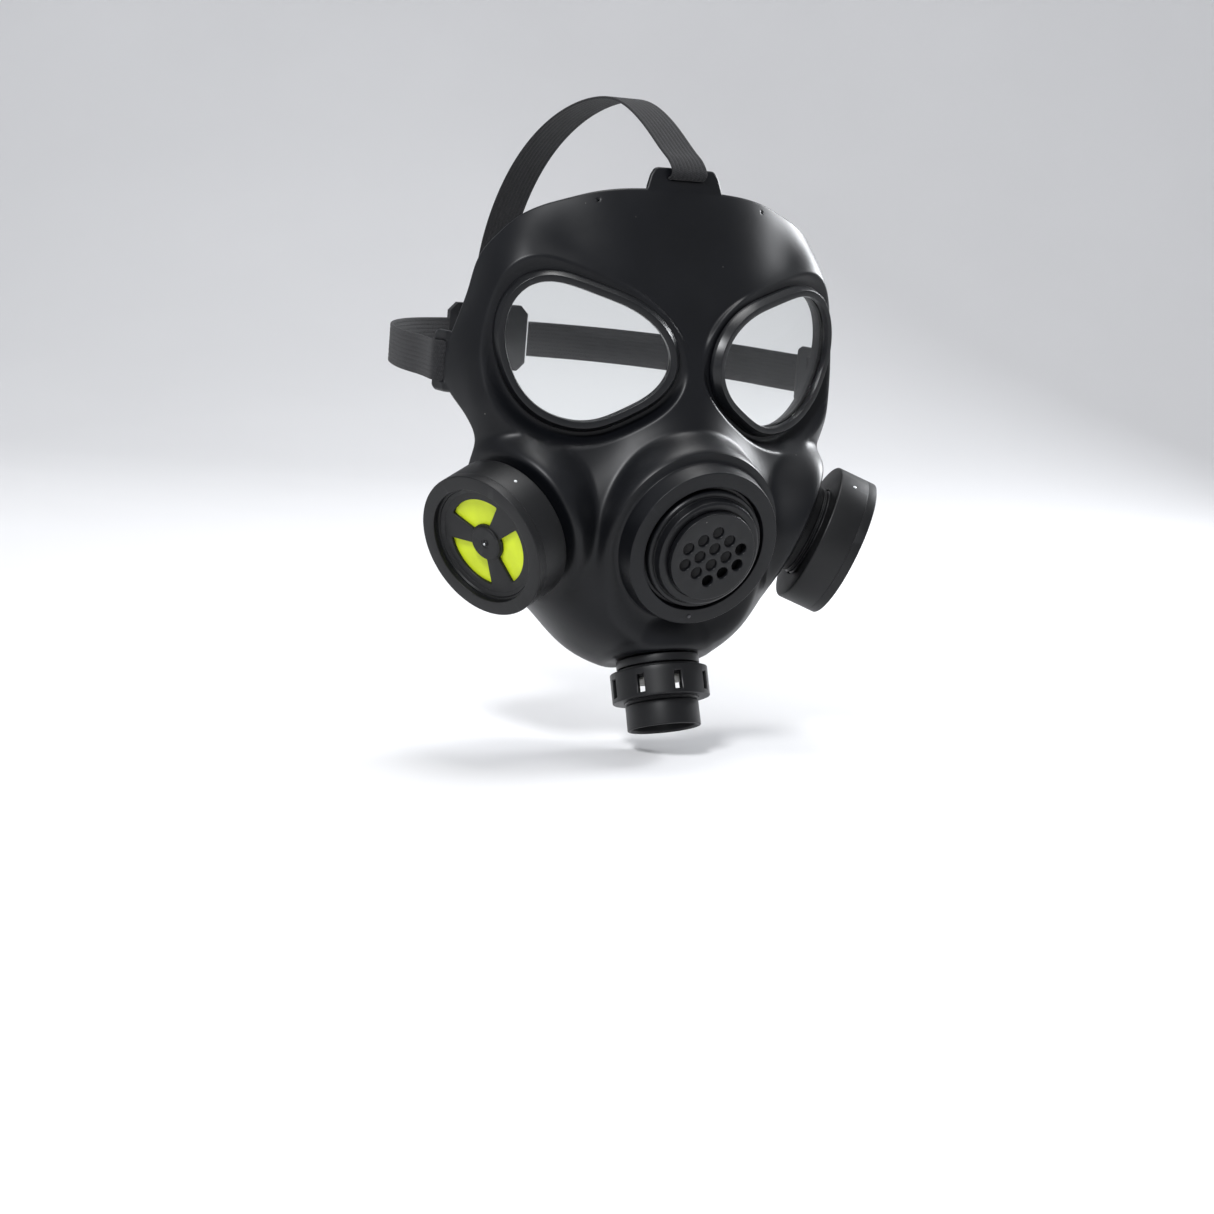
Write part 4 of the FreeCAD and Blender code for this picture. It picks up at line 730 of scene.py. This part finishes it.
shell = build_shell()
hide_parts("face_shell")
# speech boss: moulded wall and flat rim of the shell round the speech unit
boss = lathe("speech_boss", [(39.6, -9.7, 0), (36.9, -9.2, 0.5), (35.9, -8.7, 0.5), (34.6, -0.1, 0.45), (28.1, 0.0, 0.35), (27.8, -3.2, 0.1), (27.8, -10.9, 0.3), (33.5, -10.9, 0.3), (38.5, -10.9, 0.3)],
             SP, M_SHELL, "mask", 180, 0.5, True, 6, 40)
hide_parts("face_shell")


# ------------------------------------------------------------------ lens frames and lenses
def sweep_loop(name, prof, side, mat, n=300, angle=38):
    """Closed section of (offset from the lens outline, depth) carried round the outline."""
    o, x, y, z = lens_frame(side)
    V, Fc = [], []
    m = len(prof)
    for off, dep in prof:
        L = lens_loop(off, n)
        V.append(o + L[:, :1] * x + L[:, 1:] * y + dep * z)
    for i in range(m):
        for k in range(n):
            a, b = i * n + k, i * n + (k + 1) % n
            c, d = ((i + 1) % m) * n + (k + 1) % n, ((i + 1) % m) * n + k
            Fc.append((a, b, c, d))
    return make(name, np.concatenate(V), Fc, mat, "mask", angle)


for side, tag in ((1, "left"), (-1, "right")):
    n_ = 320
    # sloping outer wall, flat face, inner bevel to the lens
    prof = fillet([(3.35, -10.9, 0.3), (3.35, -4.55, 0.2), (5.1, -4.5, 0.2), (4.75, -3.0, 0.6), (3.05, 0.0, 0.35), (0.4, -0.12, 0.25), (0.0, -2.35, 0.2), (1.75, -2.4, 0.1), (1.8, -10.9, 0.3)], 0.3, True, 4)
    bz = sweep_loop("lens_bezel_" + tag, prof, side, M_BEZEL, n_)
    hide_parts("lens_frame_" + tag)
    kp = sweep_loop("lens_inner_ring_" + tag, fillet([(1.7, -5.5), (0.3, -5.5), (0.3, -7.7), (1.7, -7.7)], 0.3, True, 3), side, M_SEAL, n_)
    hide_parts("lens_keeper_" + tag)
    cl = sweep_loop("lens_clamp_band_" + tag, fillet([(7.6, -8.7), (3.4, -8.7), (3.4, -10.8), (7.6, -10.8)], 0.5, True, 4), side, M_PLAST, n_)
    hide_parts("lens_clamp_" + tag)
    # lens: two faces a little domed, closed at the rim
    o, x, y, z = lens_frame(side)
    rings = [1.0, 0.97, 0.92, 0.84, 0.72, 0.58, 0.42, 0.26, 0.12]
    L0 = lens_loop(1.6, 160); cx = L0.mean(0)
    V, Fc = [], []
    for face, (dep, dome) in enumerate(((-2.5, 1.3), (-4.4, 1.3))):
        for s_ in rings:
            L = cx + (L0 - cx) * s_
            V.append(o + L[:, :1] * x + L[:, 1:] * y + (dep + dome * (1 - s_ * s_)) * z)
        V.append((o + cx[0] * x + cx[1] * y + (dep + dome) * z)[None])
    m = len(rings); nn = 160; blk = m * nn + 1
    for face in (0, 1):
        b0 = face * blk
        for i in range(m - 1):
            for k in range(nn):
                q = (b0 + i * nn + k, b0 + i * nn + (k + 1) % nn, b0 + (i + 1) * nn + (k + 1) % nn, b0 + (i + 1) * nn + k)
                Fc.append(q if face == 0 else q[::-1])
        for k in range(nn):
            q = (b0 + (m - 1) * nn + k, b0 + (m - 1) * nn + (k + 1) % nn, b0 + m * nn)
            Fc.append(q if face == 0 else q[::-1])
    for k in range(nn): Fc.append((k, blk + k, blk + (k + 1) % nn, (k + 1) % nn))
    ln = make("lens_pane_" + tag, np.concatenate(V), Fc, M_GLASS, "mask", 60)
    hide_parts("lens_" + tag)

# ------------------------------------------------------------------ canisters
def sector_loop(r_in, r_out, mid, span, corner=1.2, n=24, inner_span=None):
    a0, a1 = math.radians(mid - span / 2), math.radians(mid + span / 2)
    b0, b1 = math.radians(mid - (inner_span or span) / 2), math.radians(mid + (inner_span or span) / 2)
    P = [(r_out * math.cos(a), r_out * math.sin(a)) for a in np.linspace(a0, a1, n)]
    P += [(r_in * math.cos(a), r_in * math.sin(a)) for a in np.linspace(b1, b0, max(8, n // 2))]
    Q = [(p[0], p[1], corner if i in (0, n - 1, n, len(P) - 1) else 0) for i, p in enumerate(P)]
    # fillet needs longer legs at the corners than the arc steps give, so corners are cut on a resampled line
    out = []
    m = len(P)
    for i in range(m):
        if Q[i][2] > 0:
            p = np.array(P[i]); a = np.array(P[i - 1]); b = np.array(P[(i + 1) % m])
            u = (a - p) / np.linalg.norm(a - p); v = (b - p) / np.linalg.norm(b - p)
            k = min(corner, 0.8 * np.linalg.norm(a - p), 0.8 * np.linalg.norm(b - p)); s, e = p + u * k, p + v * k
            for f in (0, 0.25, 0.5, 0.75, 1.0): out.append((1 - f) ** 2 * s + 2 * f * (1 - f) * p + f * f * e)
        else: out.append(np.array(P[i]))
    return np.array(out)


for side, tag in ((1, "left"), (-1, "right")):
    fr = can_frame(side); body = "canister_" + tag
    hs = lathe("canister_cup_" + tag, [(20.55, -17.8, 0.4), (31.45, -17.8, 0.9), (31.45, -4.2, 0.1), (29.55, -4.25, 0.2), (29.55, -11.9, 0.2), (27.9, -11.9, 0.2), (27.9, -16.0, 0.5), (23.2, -16.0, 0.5), (23.2, -11.95, 0.3), (20.55, -11.95, 0.3)],
               fr, M_CAN, body, 180, 0.4)
    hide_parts("filter_housing_" + tag)
    wins = [sector_loop(8.1, 19.5, m, 84.0, 1.4, 30, 70.0) for m in (103.7, 223.7, 343.7)]
    outer = [(25.4 * math.cos(a), 25.4 * math.sin(a)) for a in np.linspace(0, 2 * math.pi, 180, endpoint=False)]
    V, Fc, tl, lw = holed_plate([(x * 24.6 / 25.4, y * 24.6 / 25.4) for x, y in outer], wins, -3.8, -5.4, 0.35)
    prof = [(24.9, -3.78), (25.15, -3.68), (25.33, -3.45), (25.4, -3.1)]
    prof += [tuple(p) for p in fillet([(25.4, -3.1), (25.4, 0.0, 0.4), (31.45, 0.0, 0.5), (31.45, -4.17, 0.1), (29.35, -4.15, 0.1), (29.35, -10.85, 0.2), (27.35, -10.85, 0.2), (27.35, -5.4, 0)], 0.3, False, 6)][1:]
    add_lathe_to(V, Fc, prof, tl, lw)
    cv = make("canister_face_" + tag, place(fr, V), Fc, M_CAN, body, 33)
    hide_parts("front_cover_" + tag)
    # small step inside the recess and the boss in the middle
    st = lathe("face_step_" + tag, [(22.6, -3.9, 0), (25.42, -3.9, 0), (25.42, -2.5, 0), (24.6, -2.55, 0.25), (24.3, -3.35, 0.25), (22.6, -3.75, 0.1)], fr, M_CAN, body, 180, 0.1)
    hb = lathe("face_hub_" + tag, [(0, -3.9, 0), (7.7, -3.9, 0), (7.6, -3.2, 0.35), (6.6, -2.95, 0.3), (2.2, -2.95, 0.3), (1.9, -3.15, 0.15), (1.3, -3.15, 0.15), (1.05, -2.55, 0.3), (0, -2.4, 0)], fr, M_CAN, body, 96, 0.2)
    pin = lathe("hub_pin_" + tag, [(0, -2.6, 0), (0.62, -2.6, 0), (0.5, -2.2, 0.2), (0, -2.1, 0)], fr, M_STEEL, body, 32, 0.1)
    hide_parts("front_cover_" + tag)
    # moulding gate mark on the side wall
    gd = math.radians(60 if side < 0 else 120); gd = fr[1] * math.cos(gd) + fr[2] * math.sin(gd)
    mk = frame_at(fr[0] + gd * 31.35 + fr[3] * (-11.0), gd)
    lathe("gate_mark_" + tag, [(0, -0.3, 0), (0.75, -0.3, 0), (0.75, 0.2, 0.15), (0.35, 0.35, 0.1), (0, 0.3, 0)], mk, M_STEEL, body, 24, 0.1)
    # parts on the mask side
    nk = lathe("neck_" + tag, [(16.5, -33.7), (20.2, -33.7), (20.2, -24.95, 0.1), (23.0, -24.9, 0.3), (23.0, -23.85, 0.5), (20.3, -23.8, 0.4), (20.15, -20.6, 0.2), (19.6, -20.2, 0.3), (19.6, -19.6, 0.3), (20.15, -19.2, 0.2), (20.15, -18.7, 0.2), (19.6, -18.3, 0.3), (19.6, -17.7, 0.3), (20.15, -17.3, 0.2), (20.15, -13.4, 0.2), (19.5, -12.75, 0.2), (16.5, -12.75, 0.3)],
               fr, M_PLAST, "mask", 160, 0.3)
    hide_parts("inlet_connector_" + tag)

# ------------------------------------------------------------------ speech unit
hs = lathe("speech_ring", [(20.85, -13.1), (27.5, -13.1), (27.5, -3.0, 0.1), (26.35, -3.0, 0.1), (26.35, 0.2, 0.3), (25.9, 1.0, 0.3), (24.6, 1.0, 0.3), (24.2, 0.75, 0.1), (23.9, 0.8, 0.2), (23.35, 4.45, 0.6), (22.4, 5.0, 0.45), (20.3, 5.0, 0.2), (20.0, 4.8, 0.1), (19.2, 4.8, 0.1), (17.35, 4.8, 0.1), (17.35, 3.25), (20.85, 3.25)],
           SP, M_GLOSS, "mask", 200, 0.3)
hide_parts("speech_housing")
GX = [(i * 0.8660254 * 7.27, j * 7.27) for i, js in ((-2, (-0.5, 0.5)), (-1, (-1, 0, 1)), (0, (-1.5, -0.5, 0.5, 1.5)), (1, (-1, 0, 1)), (2, (-0.5, 0.5))) for j in js]
holes = [np.array([(x + 2.6 * math.cos(a), y + 2.6 * math.sin(a)) for a in np.linspace(0, 2 * math.pi, 40, endpoint=False)]) for x, y in GX]
outer = [(18.5 * math.cos(a), 18.5 * math.sin(a)) for a in np.linspace(0, 2 * math.pi, 160, endpoint=False)]
V, Fc, tl, lw = holed_plate(outer, holes, 8.0, 6.0, 0.45)
prof = [tuple(p) for p in fillet([(18.5, 8.0), (19.6, 8.0, 0.35), (19.6, 5.1, 0.2), (17.15, 5.1, 0.1), (17.15, 3.2, 0.2), (15.9, 3.2, 0.2), (15.9, 6.0, 0)], 0.3, False, 6)][1:]
add_lathe_to(V, Fc, prof, tl, lw)
gr = make("speech_cap", place(SP, V), Fc, M_GLOSS, "mask", 33)
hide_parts("speech_grille")
# screw below the grille
sd = np.cross([1.0, 0, 0], SP[3]); sd = -sd if sd[2] > 0 else sd
sf = frame_at(SP[0] + sd * 31.1, SP[3])
sc = lathe("boss_screw_head", [(0, -6.9, 0), (1.05, -6.9, 0.1), (1.05, -0.3, 0.05), (0.8, -0.3, 0.05), (0.8, 0.3, 0.2), (0.4, 0.45, 0.1), (0, 0.45, 0)], sf, M_SCR, "mask", 40, 0.1)
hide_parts("boss_screw")

# ------------------------------------------------------------------ chin outlet
pt = lathe("outlet_neck", [(11.0, -9.4), (13.4, -9.4), (13.4, 0.2, 0.1), (17.0, 0.2, 0.1), (18.0, 0.3, 0.3), (18.0, 4.0, 0.7), (16.5, 4.0, 0.3), (16.5, 7.05, 0.1), (17.4, 7.35, 0.2), (16.6, 8.4, 0.3), (12.6, 9.0, 0.1), (12.6, 8.25, 0.1), (11.0, 8.25, 0.2)],
           OUT, M_PLAST, "mask", 160, 0.3)
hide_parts("outlet_port")


def slotted_collar():
    """Turned collar whose wall has eight rectangular air slots with rounded rims."""
    ri, ro, z0, z1, zl, zh, w = 18.55, 21.15, 5.45, 18.45, 8.6, 16.4, 3.3
    ph = math.radians(7.1)
    # unrolled wall: holes drawn flat (arc length, height), then wrapped
    per = 2 * math.pi * ro
    nc = 24
    verts, faces = [], []
    def wrap(s, z, r):
        a = s / ro + ph + math.pi / 2
        return (r * math.cos(a), r * math.sin(a), z)
    bev = 0.35
    hw = w / 2
    cols = [-hw - bev * 2.5, -hw - bev, -hw, hw, hw + bev, hw + bev * 2.5]
    sec = per / 8
    S = []
    for k in range(8):
        S += [k * sec + c for c in cols]
        a, b = k * sec + cols[-1], (k + 1) * sec + cols[0]
        S += list(np.linspace(a, b, 9)[1:-1])
    Z = [z0 + 0.55, zl - 2.5 * bev, zl - bev, zl, zh, zh + bev, zh + 2.5 * bev, z1 - 0.55]
    n = len(S)
    inset = lambda s, z: 0.0
    def layer(r, sgn):
        ids = np.zeros((len(Z), n), int)
        for j, z in enumerate(Z):
            for i, s in enumerate(S):
                k = i % (n // 8)
                dip = bev if (k in (2, 3) and 3 <= j <= 4) else 0.0
                ids[j, i] = len(verts); verts.append(wrap(s, z, r - sgn * dip))
        for j in range(len(Z) - 1):
            for i in range(n):
                k = i % (n // 8)
                if k == 2 and j == 3: continue
                q = (ids[j, i], ids[j, (i + 1) % n], ids[j + 1, (i + 1) % n], ids[j + 1, i])
                faces.append(q)
        return ids
    A = layer(ro, 1); B = layer(ri, -1)
    for k in range(8):
        i = k * (n // 8) + 2
        loop = [(3, i), (3, i + 1), (4, i + 1), (4, i)]
        for a in range(4):
            p, q = loop[a], loop[(a + 1) % 4]
            faces.append((A[p], A[q], B[q], B[p]))
    # rounded top and bottom, closed to the lip and the floor ring
    def cap(jrow, prof):
        prev = A[jrow]
        for r, z in prof:
            cur = np.arange(len(verts), len(verts) + n)
            verts.extend([wrap(s, z, r) for s in S])
            faces.extend([(prev[i], cur[i], cur[(i + 1) % n], prev[(i + 1) % n]) for i in range(n)])
            prev = cur
        faces.extend([(prev[i], B[jrow][i], B[jrow][(i + 1) % n], prev[(i + 1) % n]) for i in range(n)])
    arc = lambda cx, cz, a0, a1, r=0.55, m=5: [(cx + r * math.cos(a), cz + r * math.sin(a)) for a in np.linspace(a0, a1, m + 1)][1:]
    cap(0, arc(ro - 0.55, z0 + 0.55, 0, -math.pi / 2) + [(17.2, z0), (16.85, z0 + 0.3), (16.85, z0 + 1.2), (17.2, z0 + 1.5), (ri, z0 + 1.5)])
    cap(len(Z) - 1, arc(ro - 0.55, z1 - 0.55, 0, math.pi / 2) + [(16.4, z1), (16.1, z1 - 0.3), (16.1, z1 - 1.1), (ri, z1 - 1.15)])
    return make("outlet_collar_ring", place(OUT, verts), faces, M_PLAST, "outlet_swivel", 33)


co = slotted_collar()
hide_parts("outlet_collar")
sp = lathe("outlet_tube", [(13.6, 16.2), (18.25, 16.2), (18.25, 17.2), (15.95, 17.2, 0.1), (15.95, 18.6, 0.1), (15.4, 18.9, 0.2), (15.4, 19.6, 0.3), (15.85, 20.1, 0.3), (15.95, 30.7, 0.9), (14.9, 30.7, 0.4), (13.6, 29.9, 0.3)], OUT, M_PLAST, "outlet_swivel", 160, 0.3)
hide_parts("outlet_spigot")


# ------------------------------------------------------------------ elastic webbing
def strap(name, path, to_space, width, mat, thick=1.15, ribs=10, body="mask", step=0.7, taper=None):
    """Ribbed elastic band along a plane path: (a, b) points; to_space maps (a, b, across)."""
    dense = along(path, 1200)
    L = np.r_[0, np.cumsum(np.linalg.norm(np.diff(dense, axis=0), axis=1))]
    n = int(L[-1] / (step * 1.0))
    u = np.linspace(0, L[-1], n)
    C = np.c_[np.interp(u, L, dense[:, 0]), np.interp(u, L, dense[:, 1])]
    T = np.gradient(C, axis=0); T /= np.linalg.norm(T, axis=1)[:, None]
    N = np.c_[-T[:, 1], T[:, 0]]
    per = 8
    m = ribs * per + 1
    w = np.linspace(-0.5, 0.5, m)
    prof = 0.5 * thick * (0.70 + 0.30 * np.abs(np.cos(np.pi * (w + 0.5) * ribs + math.pi / 2)) ** 0.6)
    edge = np.clip((0.5 - np.abs(w)) / 0.012, 0, 1) ** 0.5
    prof = prof * (0.55 + 0.45 * edge)
    verts = []
    rng = np.random.default_rng(7)
    wob = 0.10 * np.convolve(rng.standard_normal(n + 40), np.ones(41) / 41, "valid")[:n]
    for i in range(n):
        ww = width * (1 + 0.004 * wob[i]) if taper is None else width * taper(u[i] / L[-1])
        for s in (1, -1):
            for k in range(m):
                kk = k if s > 0 else m - 1 - k
                p = C[i] + N[i] * s * prof[kk]
                verts.append(to_space(p[0], p[1], w[kk] * ww))
    faces = []
    M2 = 2 * m
    for i in range(n - 1):
        for k in range(M2):
            a, b = i * M2 + k, i * M2 + (k + 1) % M2
            faces.append((a, b, b + M2, a + M2))
    faces.append(tuple(range(M2)))
    faces.append(tuple((n - 1) * M2 + k for k in reversed(range(M2))))
    ob = make(name, verts, faces, mat, body, 70)
    uv = ob.data.uv_layers.new(name="weave")
    vi = np.zeros(len(ob.data.loops), int); ob.data.loops.foreach_get("vertex_index", vi)
    row, col = vi // M2, vi % M2
    cc = np.where(col < m, col, M2 - 1 - col)
    buf = np.empty(len(vi) * 2); buf[0::2] = u[np.clip(row, 0, n - 1)]; buf[1::2] = (w[np.clip(cc, 0, m - 1)] + 0.5) * ribs
    uv.data.foreach_set("uv", buf)
    return ob


TOP_PATH = [(13.0, 78.6), (9.0, 78.75), (6.3, 80.6), (8.2, 84.4), (15.0, 88.9), (30.5, 98.0), (46, 105.8), (62, 110.6), (80, 111.2), (101, 108), (130, 98), (157, 81), (179, 56), (189.8, 30), (191.6, 12.0)]
SIDE_PATH = [(87.4, 38.0), (90.8, 40.6), (94.1, 43.4), (94.2, 49.0), (93.0, 54.5), (91.0, 66), (89.5, 84), (85.0, 108), (76, 134), (62, 159), (44, 178), (21.6, 190.0)]


def free_strap(ob):
    """A strap runs between the mask and the pad at the back of the head; here it is taken off the mask body and its
    transform baked.
    """
    w = ob.matrix_world.copy(); ob.parent = None; ob.matrix_world = w
    if "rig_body" in ob: del ob["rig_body"]
    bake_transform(ob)


s1 = strap("crown_strap", TOP_PATH, lambda a, b, c: (c, a, b), 17.0, M_WEB, ribs=9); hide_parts("top_strap"); free_strap(s1)
s2 = strap("temple_strap_left", SIDE_PATH, lambda a, b, c: (a, b, -4.8 + c), 17.0, M_WEB, ribs=9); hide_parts("side_strap_left"); free_strap(s2)
s3 = strap("temple_strap_right", SIDE_PATH, lambda a, b, c: (-a, b, -4.8 + c), 17.0, M_WEB, ribs=9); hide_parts("side_strap_right"); free_strap(s3)

# ------------------------------------------------------------------ materials for CAD nodes that stay
def paint(node, mat):
    ob = frame["nodes"][node]
    ob.data.materials.clear(); ob.data.materials.append(mat)
    for p in ob.data.polygons: p.material_index = 0


for nme in frame["nodes"]:
    if nme.startswith("indicator_disc"): paint(nme, M_YEL)
    elif nme.startswith("filter_pad"): paint(nme, M_FELT)
    elif nme.startswith("carbon_bed"): paint(nme, M_CARB)
    elif nme.startswith("rear_screen"): paint(nme, M_SCR)
    elif nme.startswith(("port_gasket", "lens_seal", "diaphragm_gasket")): paint(nme, M_SEAL)
    elif nme in ("inlet_valve_left", "inlet_valve_right", "exhale_valve"): paint(nme, M_SIL)
    elif nme == "speech_diaphragm": paint(nme, M_FILM)
    elif nme in ("boss_screw",): paint(nme, M_STEEL)
    elif nme.startswith(("lens_left", "lens_right")): paint(nme, M_GLASS)
    elif "strap" in nme: paint(nme, M_WEB)
    else: paint(nme, M_PLAST)

# ------------------------------------------------------------------ stage, light, camera
def stage():
    # pale sweep: floor that curves up into a wall behind the object
    back = np.array([0.483, 0.875]); wide = np.array([0.875, -0.483])
    line = [(-5.0, 0.0), (0.9, 0.0)] + [(0.9 + 0.9 * math.sin(a), 0.9 - 0.9 * math.cos(a)) for a in np.linspace(0, math.pi / 2, 25)[1:]] + [(1.8, 4.5)]
    verts, faces = [], []
    for u, z in line:
        for w_ in (-5.0, 5.0):
            p = back * u + wide * w_; verts.append((p[0], p[1], z - 0.166))
    for k in range(len(line) - 1): faces.append((2 * k, 2 * k + 1, 2 * k + 3, 2 * k + 2))
    me = bpy.data.meshes.new("floor"); me.from_pydata(verts, [], faces); me.update()
    for p in me.polygons: p.use_smooth = True
    fl = bpy.data.objects.new("floor", me); bpy.context.scene.collection.objects.link(fl)
    m, nt, b = nodes_of("floor_pale")
    tc = nt.nodes.new("ShaderNodeTexCoord"); n = noise(nt, tc.outputs["Object"], 3.0, 3.0)
    nt.links.new(ramp(nt, n, [(0.3, (0.72, 0.72, 0.725, 1)), (0.7, (0.75, 0.75, 0.755, 1))]), b.inputs["Base Color"])
    b.inputs["Roughness"].default_value = 0.9
    fl.data.materials.append(m)
    w = bpy.data.worlds.new("studio"); bpy.context.scene.world = w; w.use_nodes = True
    bg = w.node_tree.nodes["Background"]; bg.inputs[0].default_value = (0.93, 0.95, 1.0, 1); bg.inputs[1].default_value = 0.45


def area(name, loc, aim, size, power, color=(1, 1, 1), size_y=None):
    l = bpy.data.lights.new(name, "AREA"); l.energy = power; l.color = color; l.size = size
    if size_y: l.shape = "RECTANGLE"; l.size_y = size_y
    ob = bpy.data.objects.new(name, l); bpy.context.scene.collection.objects.link(ob)
    ob.location = loc
    ob.rotation_euler = (Vector(aim) - Vector(loc)).to_track_quat("-Z", "Y").to_euler()
    return ob


stage()
area("key", (-0.85, -0.75, 0.95), (0, 0, -0.02), 0.32, 20, (0.97, 0.98, 1.0))
area("rim", (0.95, 0.25, 0.35), (0, 0, -0.03), 0.35, 11, (0.95, 0.97, 1.0))
area("top", (0.1, 0.1, 1.1), (0, 0.03, 0), 0.5, 7, (1, 1, 1))

PSI, EPS, RHO, DIST, S_, CX, CY = math.radians(-28.91), math.radians(9.526), math.radians(4.737), 1097.7, 2.351, 680.49, 367.38
b_ = np.array([math.sin(PSI) * math.cos(EPS), -math.cos(PSI) * math.cos(EPS), math.sin(EPS)])
r_ = np.array([math.cos(PSI), math.sin(PSI), 0.0]); u_ = np.cross(b_, r_)
r2 = r_ * math.cos(RHO) + u_ * math.sin(RHO); u2 = -r_ * math.sin(RHO) + u_ * math.cos(RHO)
ox, oy = (CX - 607) / S_, -(CY - 607) / S_
C_ = np.stack([r2, u2, b_], 1) @ np.array([-ox, -oy, DIST])
cam = bpy.data.cameras.new("cam"); cam.sensor_width = 36.0; cam.lens = 36.0 * S_ * DIST / 1214.0; cam.clip_start = 0.01; cam.clip_end = 50
co_ = bpy.data.objects.new("camera", cam); bpy.context.scene.collection.objects.link(co_)
Mx = Matrix.Identity(4)
for i in range(3):
    Mx[i][0], Mx[i][1], Mx[i][2], Mx[i][3] = float(r2[i]), float(u2[i]), float(b_[i]), float(C_[i] * MM)
co_.matrix_world = Mx
bpy.context.scene.camera = co_

bpy.context.scene.view_settings.view_transform = "Standard"
